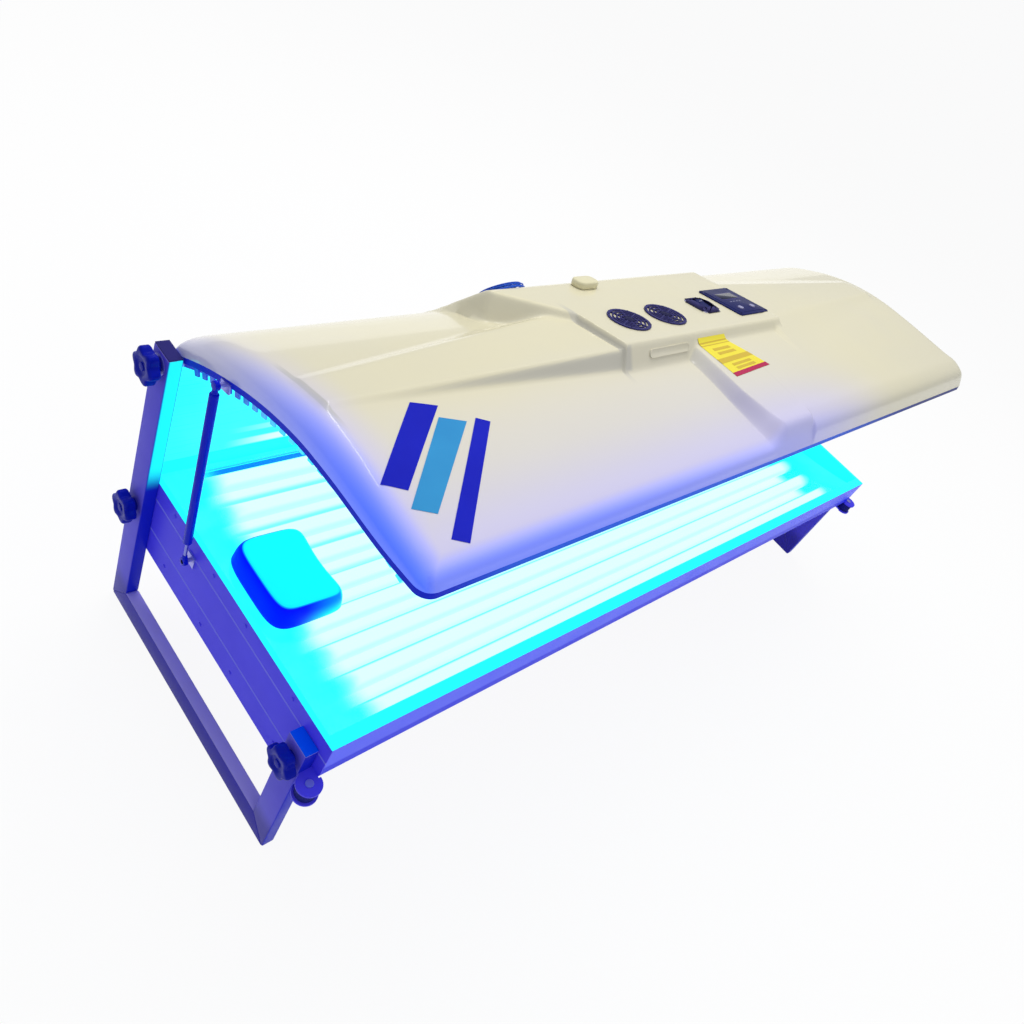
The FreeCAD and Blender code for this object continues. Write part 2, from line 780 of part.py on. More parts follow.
def skin_steps(points):
    """Rear corner, rear slope, brow, straight front panel and front corner of a skin."""
    a = flip(points)
    return [(a[1], a[2]), (a[3], a[4]), (a[5], a[6]), a[7], (a[8], a[9])]


def skin_section(points, x):
    rear_foot = (-(rear_edge + shell_wall), rim_rear)
    front_foot = (-(front_edge - shell_wall), rim_front)
    return outline(x, flip(points)[0], skin_steps(points) + [front_foot, rear_foot])


def cavity_section(points, x):
    """Inside of a skin, open below."""
    inner = offset_points(points, -shell_wall)
    ends = flip([(inner[0][0], cavity_low), (inner[-1][0], cavity_low)])
    return outline(x, ends[0], [flip(inner)[0]] + skin_steps(inner) + [ends[1]])


def blended(points, share):
    return [(a[0] + share * (b[0] - a[0]), a[1] + share * (b[1] - a[1])) for a, b in zip(rim_skin, points)]


def rounded_end(section, points, end, run):
    """End of a shell that rises from its rim by a quarter round: end and run are signed along X."""
    wires = []
    for i in range(end_steps + 1):
        turn = math.radians(90 * i / end_steps)
        wires.append(section(blended(points, math.sin(turn)), end - run * (1 - math.cos(turn))))
    return Part.makeLoft(wires, True, True)


def skin_run(section, points, x0, x1):
    return Part.Face(section(points, x0)).extrude(Vec(x1 - x0, 0, 0))


def frustum(low, low_height, high, high_height):
    """Block between two outlines in x and reach."""
    wires = []
    for corners, height in ((low, low_height), (high, high_height)):
        wires.append(Part.makePolygon([Vec(x, -reach, height) for x, reach in corners + corners[:1]]))
    return Part.makeLoft(wires, True, True)


def top_box(inset):
    """Box on top of the canopy, its faces moved in by the inset."""
    high = [(-box_half, box_front), (box_half, box_front), (box_half, box_rear), (box_corner, box_rear),
            (box_corner, box_flare_end), (-box_half, box_notch)]
    side = box_half + box_side_run
    front = box_front + box_front_run
    rear = box_rear - box_rear_run
    corner = box_corner - box_corner_run
    flare = (box_notch - box_flare_end) / (-box_half - box_corner)
    shift = box_flare_run * math.hypot(1, flare)
    notch = box_notch - box_side_run * flare + shift
    flare_end = box_notch + (corner + box_half) * flare + shift
    low = [(-side, front), (side, front), (side, rear), (corner, rear), (corner, flare_end), (-side, notch)]
    if inset:
        high = offset_points(high, -inset, closed=True)
        low = offset_points(low, -inset, closed=True)
    return frustum(low, box_foot - inset, high, box_top - inset)


def ridge(tip, root, x_tip, x_root, inset):
    """Ridge beside the box that tapers to its tip."""
    wires = []
    for corners, x in ((tip, x_tip), (root, x_root)):
        section = flip(offset_points(corners, -inset, closed=True))
        wires.append(Part.makePolygon([point(x, corner) for corner in section + section[:1]]))
    return Part.makeLoft(wires, True, True)


def ridges(inset):
    """Both ridges, their roots inside the box."""
    root = box_half - box_side_run
    return [ridge(head_ridge_tip, head_ridge_root, head_ridge_end, -root, inset),
            ridge(foot_ridge_tip, foot_ridge_root, foot_ridge_end, root, inset)]


def archway():
    """Space under the rim arch, through both ends."""
    arch = flip(rim_arch)
    steps = [arch[0], (arch[1], arch[2]), (arch[3], arch[4]), (arch[5], arch[6]), (arch[6][0], cavity_low)]
    space = extruded((arch[0][0], cavity_low), steps, -canopy_end, canopy_end)
    inside = box(-canopy_end, canopy_end, -front_edge + shell_wall, -rear_edge - shell_wall,
                 cavity_low, box_top)
    return space.common(inside)


def rear_slope():
    """Centre of the rear fan on the box's rear slope and the outward direction there, as (reach, height)."""
    run = math.hypot(box_rear_run, box_top - box_foot)
    along = (box_rear_run / run, (box_top - box_foot) / run)
    centre = (box_rear - rear_fan_drop * along[0], box_top - rear_fan_drop * along[1])
    return centre, (-along[1], along[0])


def slope_wall():
    """Thickness of the shell square to the rear slope."""
    out = rear_slope()[1]
    return shell_wall * (out[1] - out[0])


def on_rear_slope(shape):
    """Puts a piece drawn about Z, with its seat at height 0, on the box's rear slope."""
    centre, out = rear_slope()
    lean = math.degrees(math.atan2(out[0], out[1]))
    shape.Placement = Placement(Vec(rear_fan_x, -centre[0], centre[1]), Rotation(x_axis, lean))
    return shape


def control_place(centre):
    return (centre[0], -centre[1])


def shell_openings():
    """Holes of the fans, the timer, the switch and the cable cover."""
    low = box_top - 2 * shell_wall
    holes = [pillar(fan_bore, x, -fan_reach, low, box_top) for x in fan_places]
    holes.append(block(control_place(timer_centre), timer_body, low, box_top))
    holes.append(block(control_place(switch_centre), switch_well(), low, box_top))
    holes.append(pillar(cover_size[1] / 2 - shell_wall, cover_place[0], -cover_place[1], low, box_top))
    holes.append(on_rear_slope(pillar(rear_fan_bore, 0, 0, -2 * shell_wall, shell_wall)))
    return holes


def canopy_shell():
    """Moulded cover: two skins with a step between them, rounded ends, a top box and its ridges."""
    full = canopy_end - end_run
    outer = skin_run(skin_section, head_skin, -full, step_x)
    outer = outer.fuse([skin_run(skin_section, foot_skin, step_x, full),
                        rounded_end(skin_section, head_skin, -canopy_end, -end_run),
                        rounded_end(skin_section, foot_skin, canopy_end, end_run), top_box(0)] + ridges(0))
    inside = canopy_end - shell_wall
    step = step_x + shell_wall
    spaces = [skin_run(cavity_section, head_skin, -full, step),
              skin_run(cavity_section, foot_skin, step, full),
              rounded_end(cavity_section, head_skin, -inside, full - inside),
              rounded_end(cavity_section, foot_skin, inside, inside - full), top_box(shell_wall), archway()]
    for space in spaces + ridges(shell_wall) + shell_openings():
        outer = outer.cut(space)
    return swung(outer)


def edge_trim():
    """Dark strip along the shell's rim: an arm at each end, a front strip and a rear strip."""
    top = flip(rim_arch)
    low = [(y, z - trim_depth) for y, z in top]
    steps = [top[0], (top[1], top[2]), (top[3], top[4]), (top[5], top[6]),
             low[6], (low[5], low[4]), (low[3], low[2]), (low[1], low[0])]
    band = extruded(low[0], steps, -trim_out, trim_out)
    high = box_top
    corner = bracket_out - trim_corner
    band = band.cut(box(-comb_out, comb_out, -trim_front, -trim_rear, cavity_low, high))
    band = band.cut(box(-canopy_end, canopy_end, -front_edge, -front_edge + shell_wall, rim_front, high))
    band = band.cut(box(-canopy_end, canopy_end, -rear_edge - shell_wall, -rear_edge, rim_rear, high))
    band = band.cut(box(-canopy_end, canopy_end, -front_edge, -front_edge + trim_side, cavity_low, high))
    band = band.cut(box(-canopy_end, canopy_end, -rear_edge - trim_side, -rear_edge, cavity_low, high))
    for side in (-1, 1):
        x0, x1 = sorted((side * corner, side * canopy_end))
        band = band.cut(box(x0, x1, -trim_rear, -rear_edge, cavity_low, high))
    return swung(band)


def arc_band(inner, outer, start, end, x0, x1):
    """Curved sheet about the lamp arc's centre, between two reaches."""
    centre = (arc_reach, arc_height)
    middle = (start + end) / 2
    low = flip([(s, on_arc(centre, inner, s)) for s in (start, middle, end)])
    high = flip([(s, on_arc(centre, outer, s)) for s in (start, middle, end)])
    return extruded(low[0], [(low[1], low[2]), high[2], (high[1], high[0])], x0, x1)


def canopy_acrylic():
    outer = lamp_arc - lamp_radius - canopy_lamp_gap
    gap = reflector_sheet + acrylic_edge_gap
    return swung(arc_band(outer - canopy_sheet, outer, trim_rear + gap, trim_front - gap,
                          -canopy_inside / 2, canopy_inside / 2))


def canopy_reflector():
    """Bright sheet behind the lamps, with side walls turned down to ledges under the acrylic."""
    half = canopy_inside / 2
    centre = (arc_reach, arc_height)
    back = lamp_arc + lamp_radius + canopy_back_gap
    acrylic = lamp_arc - lamp_radius - canopy_lamp_gap - canopy_sheet
    shape = arc_band(back, back + reflector_sheet, trim_rear, trim_front, -half, half)
    for wall, inward in ((trim_rear, 1), (trim_front, -1)):
        ledge = on_arc(centre, acrylic, wall + inward * (reflector_sheet + acrylic_edge_gap))
        near, far = sorted((-wall, -wall - inward * reflector_sheet))
        top = on_arc(centre, back, wall + inward * reflector_sheet)
        low, high = sorted((-wall, -wall - inward * acrylic_ledge))
        shape = shape.fuse([box(-half, half, near, far, ledge - reflector_sheet, top),
                            box(-half, half, low, high, ledge - reflector_sheet, ledge)])
    return swung(shape.removeSplitter())


def lamp_angle(reach):
    return math.asin((reach - arc_reach) / lamp_arc)


def along_canopy(shape, count, pitch):
    """Copies of a piece on the origin at even steps of the lamp arc, turned to face its centre."""
    copies = []
    for i in range(count):
        angle = lamp_angle(lamp_mid_reach) + (i - (count - 1) / 2) * pitch / lamp_arc
        place = Vec(0, -arc_reach - lamp_arc * math.sin(angle), arc_height + lamp_arc * math.cos(angle))
        copy = shape.copy()
        copy.Placement = Placement(place, Rotation(x_axis, math.degrees(angle)))
        copies.append(copy)
    return copies


def canopy_lamps():
    return swung(Part.Compound(along_canopy(lamp(), canopy_lamp_count, canopy_lamp_pitch)))


def canopy_lampholders():
    """Holders that hang from the reflector."""
    back = lamp_radius + canopy_back_gap
    inside = bar(lamp_arc + back, -canopy_end, canopy_end, (-arc_reach, arc_height))
    holder = lampholder(back + holder_rise).mirror(Vec(0, 0, 0), z_axis)
    holders = [copy.common(inside) for copy in along_canopy(holder, canopy_lamp_count, canopy_lamp_pitch)]
    return swung(both_ends(Part.Compound(holders)))


def comb_plates():
    """End strips behind the trim whose teeth hang below the rim, two to each lamp."""
    x0 = -comb_out
    x1 = -bracket_out
    shape = arc_band(lamp_arc - comb_below, lamp_arc + comb_above, comb_start, trim_front, x0, x1)
    tooth = box(x0, x1, -tooth_width / 2, tooth_width / 2, -comb_tip, -comb_below + comb_sheet)
    count = 2 * canopy_lamp_count - 1
    for copy in along_canopy(tooth, count, canopy_lamp_pitch / 2):
        shape = shape.fuse(copy)
    return swung(both_ends(shape.removeSplitter()))


def canopy_pivot_brackets():
    """Plates behind the comb plates, each with a boss that turns on the post's stud."""
    plate = prism(flip(bracket_arm), -bracket_out, -bracket_out + bracket_sheet)
    boss = bar(bracket_boss_radius, -canopy_end, -bracket_out + bracket_sheet, (0, 0))
    shape = plate.fuse(boss).cut(bar(pivot_stud_radius + running_gap, -canopy_end, canopy_end, (0, 0)))
    return swung(both_ends(shape.removeSplitter()))


def strut_high_brackets():
    """Plates on the trim's end arms; each stud stops just short of the strut's socket."""
    reach, height = strut_high
    half = strut_plate_size / 2
    lip = height + strut_stud_radius + running_gap
    plate = box(-trim_out - strut_plate, -trim_out, -reach - half, -reach + half, height - half, lip)
    stud = bar(strut_stud_radius, -strut_eye_x + face_gap, -trim_out, (-reach, height))
    return swung(both_ends(plate.fuse(stud).removeSplitter()))


def canopy_control_gear():
    """Slim ballasts that lie on the back of the reflector."""
    back = lamp_arc + lamp_radius + canopy_back_gap + reflector_sheet
    inside = bar(back, -canopy_end, canopy_end, (-arc_reach, arc_height))
    blocks = []
    for x, reach in canopy_ballasts:
        gear = block((x, -reach), (ballast_length, canopy_ballast_width), 0, canopy_ballast_top)
        blocks.append(gear.cut(inside))
    return swung(Part.Compound(blocks))


# Fans, drawn about Z with their top face at height 0

def fan_frame(size, bore, depth):
    """Square frame with a floor spider that carries the motor and its shaft."""
    shape = block((0, 0), (size, size), -depth, 0).cut(pillar(bore, 0, 0, -depth, 0))
    for wide, long in ((fan_strut_width, 2 * bore), (2 * bore, fan_strut_width)):
        shape = shape.fuse(block((0, 0), (wide, long), -depth, -depth + fan_floor))
    shape = shape.fuse(pillar(fan_shaft_radius, 0, 0, -depth, -fan_floor))
    return shape.removeSplitter()


def fan_impeller(bore, hub, depth):
    """Hub and pitched blades on the motor shaft."""
    low = -depth + fan_floor + fan_tip_gap
    high = -fan_tip_gap
    shape = pillar(hub, 0, 0, low, high)
    tip = pillar(bore - fan_tip_gap, 0, 0, low, high)
    length = (high - low) / math.cos(math.radians(fan_blade_pitch))
    for i in range(fan_blades):
        blade = box(0, bore, -fan_blade_sheet / 2, fan_blade_sheet / 2, -length / 2, length / 2)
        blade.Placement = Placement(Vec(0, 0, (low + high) / 2), Rotation(x_axis, fan_blade_pitch))
        blade.rotate(Vec(0, 0, 0), z_axis, 360 * i / fan_blades)
        shape = shape.fuse(blade.common(tip))
    return shape.cut(pillar(fan_shaft_radius + running_gap, 0, 0, low, high)).removeSplitter()


def flat_grille():
    """Round finger guard: a rim, rings and four spokes."""
    shape = pillar(grille_radius, 0, 0, 0, grille_sheet)
    shape = shape.cut(pillar(grille_radius - grille_rim, 0, 0, 0, grille_sheet))
    for radius in grille_rings:
        loop = pillar(radius, 0, 0, 0, grille_sheet)
        shape = shape.fuse(loop.cut(pillar(radius - grille_ring_width, 0, 0, 0, grille_sheet)))
    reach = 2 * grille_radius - grille_rim
    for wide, long in ((grille_ring_width, reach), (reach, grille_ring_width)):
        shape = shape.fuse(block((0, 0), (wide, long), 0, grille_sheet))
    return shape.removeSplitter()


def round_guard():
    """Shallow cage over the rear fan: a drum wall with rings and spokes across its top."""
    top = guard_proud - guard_wire
    shape = pillar(guard_radius, 0, 0, 0, guard_proud)
    shape = shape.cut(pillar(guard_radius - guard_wire, 0, 0, 0, guard_proud))
    for radius in guard_rings:
        loop = pillar(radius, 0, 0, top, guard_proud)
        shape = shape.fuse(loop.cut(pillar(radius - guard_wire, 0, 0, top, guard_proud)))
    reach = 2 * guard_radius - guard_wire
    for wide, long in ((guard_wire, reach), (reach, guard_wire)):
        shape = shape.fuse(block((0, 0), (wide, long), top, guard_proud))
    return shape.removeSplitter()


def under_box(shape, x, reach):
    """Puts a fan piece against the inside of the box's top."""
    shape.translate(Vec(x, -reach, box_top - shell_wall))
    return shape


def fan_frames():
    return swung(Part.Compound([under_box(fan_frame(fan_size, fan_bore, fan_depth), x, fan_reach)
                                for x in fan_places]))


def fan_impeller_at(x):
    return swung(under_box(fan_impeller(fan_bore, fan_hub_radius, fan_depth), x, fan_reach))


def fan_grilles():
    grilles = []
    for x in fan_places:
        grille = flat_grille()
        grille.translate(Vec(x, -fan_reach, box_top))
        grilles.append(grille)
    return swung(Part.Compound(grilles))


def rear_fan_piece(shape):
    """Puts a fan piece against the inside of the rear slope."""
    shape.translate(Vec(0, 0, -slope_wall()))
    return swung(on_rear_slope(Part.Compound([shape])))


def rear_fan_frame():
    return rear_fan_piece(fan_frame(rear_fan_size, rear_fan_bore, rear_fan_depth))


def rear_fan_impeller():
    return rear_fan_piece(fan_impeller(rear_fan_bore, rear_fan_hub_radius, rear_fan_depth))


def rear_fan_guard():
    return swung(on_rear_slope(round_guard()))


# Controls on the box's top

def timer_panel():
    """Timer with a plate on the box and its body below, pocketed for two buttons."""
    place = control_place(timer_centre)
    top = box_top + panel_proud
    shape = block(place, timer_size, box_top, top)
    shape = shape.fuse(block(place, timer_body, box_top - timer_body_depth, box_top))
    for x in button_places:
        hole = pillar(button_radius + running_gap, place[0] + x, place[1] - button_reach,
                      top - button_sink - button_travel - face_gap, top)
        shape = shape.cut(hole)
    return swung(shape.removeSplitter())


def timer_button(x):
    place = control_place(timer_centre)
    top = box_top + panel_proud
    return swung(pillar(button_radius, place[0] + x, place[1] - button_reach,
                        top - button_sink, top + button_proud))


def switch_well():
    """Size in X and Y of the switch body below its plate."""
    return (rocker_width + 2 * (rocker_clearance + switch_wall),
            2 * (rocker_half + rocker_clearance + switch_wall))


def switch_axis():
    """Axis of the rocker, as y and height."""
    return (-switch_centre[1], box_top + switch_proud - rocker_pin_radius)


def switch_bezel():
    """Plate and body of the power switch, with the pin that the rocker turns on."""
    place = control_place(switch_centre)
    well = switch_well()
    low = switch_axis()[1] - rocker_half - rocker_clearance
    shape = block(place, switch_size, box_top, box_top + switch_proud)
    shape = shape.fuse(block(place, well, low - switch_wall, box_top))
    room = (well[0] - 2 * switch_wall, well[1] - 2 * switch_wall)
    shape = shape.cut(block(place, room, low, box_top + switch_proud))
    half = room[0] / 2
    pin = bar(rocker_pin_radius, place[0] - half - switch_wall, place[0] + half + switch_wall, switch_axis())
    return swung(shape.fuse(pin).removeSplitter())


def power_rocker():
    """Rocker on its pin, tipped to one side at rest."""
    y, z = switch_axis()
    x = switch_centre[0]
    foot, drop = rocker_foot
    corners = [(-rocker_half, rocker_crown), (0, rocker_waist), (rocker_half, rocker_crown), (foot, -drop),
               (-foot, -drop)]
    x0 = x - rocker_width / 2
    x1 = x + rocker_width / 2
    shape = prism([(y + a, z + b) for a, b in corners], x0, x1)
    shape = shape.cut(bar(rocker_pin_radius + running_gap, x0, x1, (y, z)))
    shape.rotate(Vec(x, y, z), x_axis, rocker_tilt)
    return swung(shape)


def cable_cover():
    """Hollow cap over the hole where the canopy's supply enters."""
    place = (cover_place[0], -cover_place[1])
    shape = block(place, cover_size, box_top, box_top + cover_height)
    upright = [e for e in shape.Edges if abs(e.Length - cover_height) < running_gap]
    shape = shape.makeFillet(cover_corner, upright)
    inside = (cover_size[0] - 2 * cover_wall, cover_size[1] - 2 * cover_wall)
    return swung(shape.cut(block(place, inside, box_top, box_top + cover_height - cover_wall)))


# Headrest

def headrest():
    """Moulded rest, hollowed on its foot side, whose underside follows the dish."""
    x, y = rest_centre
    shape = block(rest_centre, rest_size, dish_low - dish_sheet, rest_top)
    height = rest_top - dish_low + dish_sheet
    upright = [e for e in shape.Edges if abs(e.Length - height) < running_gap]
    shape = shape.makeFillet(rest_corner, upright)
    top = [e for e in shape.Edges if abs(e.BoundBox.ZMin - rest_top) < running_gap]
    shape = shape.makeFillet(rest_edge, top)
    hollow_x = x + rest_size[0] / 2 + rest_hollow_radius - rest_hollow_depth
    shape = shape.cut(pillar(rest_hollow_radius, hollow_x, y, 0, rest_top))
    dish = bar(dish_radius - face_gap, -bed_end, bed_end, (0, dish_centre))
    return shape.common(dish)


def mirrored_x(shape):
    return shape.mirror(Vec(0, 0, 0), x_axis)


def nodes():
    """Every node and its shape."""
    made = {
        "post_end_plugs": end_plugs(),
        "bed_front_rail": bed_front_rail(),
        "bed_rear_rail": mirrored_y(bed_front_rail()),
        "bed_head_panel": end_panel(),
        "bed_foot_panel": bed_foot_panel(),
        "bed_belly_tray": belly_tray(),
        "bed_reflector": bed_reflector(),
        "bed_acrylic": bed_acrylic(),
        "bed_lampholders": bed_lampholders(),
        "bed_lamps": Part.Compound(along_bed(lamp())),
        "bed_ballasts": bed_ballasts(),
        "mains_inlet": mains_inlet(),
        "rear_reflector_panel": rear_panel(),
        "pivot_hardware": pivot_hardware(),
        "bed_clamp_studs": clamp_studs(),
        "wheel_forks": both_ends(wheel_fork()),
        "wheel_axles": both_ends(wheel_axle()),
        "strut_low_brackets": both_ends(strut_low_bracket()),
        "canopy_shell": canopy_shell(),
        "canopy_edge_trim": edge_trim(),
        "canopy_comb_plates": comb_plates(),
        "canopy_reflector": canopy_reflector(),
        "canopy_acrylic": canopy_acrylic(),
        "canopy_lamps": canopy_lamps(),
        "canopy_lampholders": canopy_lampholders(),
        "canopy_ballasts": canopy_control_gear(),
        "canopy_pivot_brackets": canopy_pivot_brackets(),
        "strut_high_brackets": strut_high_brackets(),
        "fan_grilles": fan_grilles(),
        "fan_frames": fan_frames(),
        "rear_fan_frame": rear_fan_frame(),
        "rear_fan_guard": rear_fan_guard(),
        "rear_fan_impeller": rear_fan_impeller(),
        "cable_cover": cable_cover(),
        "timer_panel": timer_panel(),
        "switch_bezel": switch_bezel(),
        "power_rocker": power_rocker(),
        "headrest": headrest(),
    }
    for i, x in enumerate(fan_places):
        made[("head_fan_impeller", "foot_fan_impeller")[i]] = fan_impeller_at(x)
    for i, x in enumerate(button_places):
        made[("timer_start_button", "timer_set_button")[i]] = timer_button(x)
    for name, shape in (
        ("rear_post", rear_post()), ("front_post", front_post()), ("floor_rail", floor_rail()),
        ("canopy_knob", canopy_knob()), ("rear_bed_knob", bed_knob(1)), ("front_bed_knob", bed_knob(-1)),
        ("wheel", wheel()), ("strut_rod", strut_rod()), ("strut_cylinder", strut_cylinder()),
    ):
        made["head_" + name] = shape
        made["foot_" + name] = mirrored_x(shape)
    return made


def main():
    os.makedirs("parts", exist_ok=True)
    for name, shape in nodes().items():
        placed = shape.copy()
        placed.translate(Vec(0, origin_shift, 0))
        placed.exportStep(os.path.join("parts", name + ".step"))
        print(name, len(placed.Solids), "solids")


main()
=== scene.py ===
import bpy
import bmesh
import math
from mathutils import Matrix, Vector


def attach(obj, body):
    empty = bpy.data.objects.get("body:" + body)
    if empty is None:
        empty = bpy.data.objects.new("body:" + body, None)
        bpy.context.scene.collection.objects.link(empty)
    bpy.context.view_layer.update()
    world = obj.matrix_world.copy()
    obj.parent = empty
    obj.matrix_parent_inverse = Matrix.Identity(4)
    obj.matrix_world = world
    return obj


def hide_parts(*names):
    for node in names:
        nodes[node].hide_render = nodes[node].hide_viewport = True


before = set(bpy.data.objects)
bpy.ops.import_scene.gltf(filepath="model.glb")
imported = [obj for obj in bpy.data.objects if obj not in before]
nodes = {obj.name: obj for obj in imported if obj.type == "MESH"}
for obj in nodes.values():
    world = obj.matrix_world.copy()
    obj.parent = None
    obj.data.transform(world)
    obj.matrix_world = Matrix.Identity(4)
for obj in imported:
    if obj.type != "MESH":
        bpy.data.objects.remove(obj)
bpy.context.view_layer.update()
print("frame loaded:", len(nodes), "nodes")

mm = 0.001
openAngle = math.radians(12.5)
hingePlace = Vector((0, 0.28925, 0.608))
# the canopy is drawn closed, as x, -reach and height on its hinge, and then swung open
canopyPlace = Matrix.Translation(hingePlace) @ Matrix.Rotation(-openAngle, 4, "X")
mirrorX = Matrix.Scale(-1, 4, (1, 0, 0))
upward = Vector((0, 0, 1))


# ---------- making and editing pieces ----------

def deselectAll():
    if bpy.context.mode != "OBJECT":
        bpy.ops.object.mode_set(mode="OBJECT")
    bpy.ops.object.select_all(action="DESELECT")


def makeActive(piece):
    deselectAll()
    piece.select_set(True)
    bpy.context.view_layer.objects.active = piece


def placeIntoMesh(name):
    piece = bpy.context.active_object
    piece.name = name
    makeActive(piece)
    bpy.ops.object.transform_apply(location=True, rotation=True, scale=True)
    return piece


def addBlock(name, low, high):
    low = Vector(low)
    high = Vector(high)
    deselectAll()
    bpy.ops.mesh.primitive_cube_add(size=1, location=(low + high) / 2, scale=high - low)
    return placeIntoMesh(name)


def addRound(name, radius, start, end, sides=48, tip=None):
    # round bar or cone from one point to another
    start = Vector(start)
    end = Vector(end)
    turn = upward.rotation_difference(end - start).to_euler()
    deselectAll()
    bpy.ops.mesh.primitive_cone_add(vertices=sides, radius1=radius, radius2=radius if tip is None else tip,
                                    depth=(end - start).length, location=(start + end) / 2, rotation=turn)
    return placeIntoMesh(name)


def addRing(name, radius, thickness, centre, sides=64, ribs=10):
    deselectAll()
    bpy.ops.mesh.primitive_torus_add(major_radius=radius, minor_radius=thickness, major_segments=sides,
                                     minor_segments=ribs, location=centre)
    return placeIntoMesh(name)


def addGrid(name, steps, rows, spotAt):
    # sheet of vertices, each placed by its row and its step along the row
    deselectAll()
    bpy.ops.mesh.primitive_grid_add(x_subdivisions=steps - 1, y_subdivisions=rows - 1, size=1)
    piece = placeIntoMesh(name)
    for i, vertex in enumerate(piece.data.vertices):
        vertex.co = spotAt(*divmod(i, steps))
    return piece


def openEdit(piece, kind="FACE", action="DESELECT"):
    makeActive(piece)
    bpy.ops.object.mode_set(mode="EDIT")
    bpy.ops.mesh.select_mode(type=kind)
    bpy.ops.mesh.select_all(action=action)
    return bmesh.from_edit_mesh(piece.data)


def closeEdit():
    bpy.ops.object.mode_set(mode="OBJECT")


def pickFaces(piece, chosen):
    # opens edit mode with only the chosen faces selected
    mesh = openEdit(piece)
    for face in mesh.faces:
        if chosen(face.calc_center_median(), face.normal):
            face.select_set(True)
    bmesh.update_edit_mesh(piece.data)


def insetFaces(piece, chosen, *steps):
    # insets the chosen faces once for each thickness and depth
    pickFaces(piece, chosen)
    for thickness, depth in steps:
        bpy.ops.mesh.inset(thickness=thickness, depth=depth)
    closeEdit()


def facesUp(centre, normal):
    return normal.z > 0.9


def sealFaces(piece, weld=0.0, holes=0):
    # joins doubled vertices, closes small holes and turns the faces outward
    openEdit(piece, action="SELECT")
    if weld:
        bpy.ops.mesh.remove_doubles(threshold=weld)
    if holes:
        bpy.ops.mesh.fill_holes(sides=holes)
    bpy.ops.mesh.normals_make_consistent(inside=False)
    closeEdit()


def smoothShade(piece, angle=40):
    makeActive(piece)
    bpy.ops.object.shade_smooth_by_angle(angle=math.radians(angle))


def softenEdges(piece, width, segments=2, angle=35):
    makeActive(piece)
    modifier = piece.modifiers.new("softEdges", "BEVEL")
    modifier.width = width
    modifier.segments = segments
    modifier.limit_method = "ANGLE"
    modifier.angle_limit = math.radians(angle)
    bpy.ops.object.modifier_apply(modifier=modifier.name)
    smoothShade(piece, angle)
    return piece


def paint(piece, finish):
    piece.data.materials.clear()
    piece.data.materials.append(finishes[finish])
    return piece


def joined(name, pieces):
    deselectAll()
    for piece in pieces:
        piece.select_set(True)
    bpy.context.view_layer.objects.active = pieces[0]
    bpy.ops.object.join()
    pieces[0].name = name
    return pieces[0]


def copied(piece, name, place):
    twin = piece.copy()
    twin.data = piece.data.copy()
    twin.name = name
    bpy.context.scene.collection.objects.link(twin)
    twin.data.transform(place)
    if place.determinant() < 0:
        twin.data.flip_normals()
    return twin


def mounted(piece, body, slotName, *stands):
    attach(piece, body)
    if stands:
        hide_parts(*stands)
    return piece


def mountPair(piece, slotName, stand, body=None):
    # a head-end piece and its mirrored twin at the foot, each for its own stand
    twin = copied(piece, piece.name + "Foot", mirrorX)
    for end, part in (("head_", piece), ("foot_", twin)):
        mounted(part, body or end + stand, slotName, end + stand)


def ontoCanopy(piece, slotName, *stands, body="canopy"):
    # swings the piece open with the canopy that it is on
    piece.data.transform(canopyPlace)
    return mounted(piece, body, slotName, *stands)


# ---------- shared effects ----------

def addNode(tree, kind, **values):
    node = tree.nodes.new(kind)
    for name, value in values.items():
        setattr(node, name, value)
    return node


def feed(place, value):
    # links a signal to an input, or sets a colour or a number on it
    if isinstance(value, signal):
        value.tree.links.new(value.socket, place)
    else:
        place.default_value = (*value, 1) if isinstance(value, tuple) else value


class signal:
    # a node's output, whose arithmetic adds nodes to the same tree

    def __init__(self, socket):
        self.socket = socket
        self.tree = socket.id_data

    def calculated(self, operation, *others):
        node = addNode(self.tree, "ShaderNodeMath", operation=operation)
        for place, value in zip(node.inputs, (self, *others)):
            feed(place, value)
        return signal(node.outputs[0])

    def __add__(self, other):
        return self.calculated("ADD", other)

    def __sub__(self, other):
        return self.calculated("SUBTRACT", other)

    def __mul__(self, other):
        return self.calculated("MULTIPLY", other)

    def __abs__(self):
        return self.calculated("ABSOLUTE")

    def larger(self, other):
        return self.calculated("MAXIMUM", other)

    def ramped(self, start, end):
        # smooth 0 to 1 as the value goes from start to end
        node = addNode(self.tree, "ShaderNodeMapRange", interpolation_type="SMOOTHSTEP")
        for place, value in zip(node.inputs, (self, start, end)):
            feed(place, value)
        return signal(node.outputs[0])

    def near(self, middle, half):
        # 1 within the half width of a line, 0 at twice that
        return abs(self - middle).ramped(half * 2, half)

    def mixed(self, first, second):
        # colour that goes from the first to the second with this share
        node = addNode(self.tree, "ShaderNodeMix", data_type="RGBA")
        for place, value in ((0, self), (6, first), (7, second)):
            feed(node.inputs[place], value)
        return signal(node.outputs[2])

    def split(self):
        node = addNode(self.tree, "ShaderNodeSeparateXYZ")
        feed(node.inputs[0], self)
        return [signal(socket) for socket in node.outputs]


def noise(place, scale, detail=2.0):
    node = addNode(place.tree, "ShaderNodeTexNoise")
    for label, value in (("Vector", place), ("Scale", scale), ("Detail", detail)):
        feed(node.inputs[label], value)
    return signal(node.outputs[0])


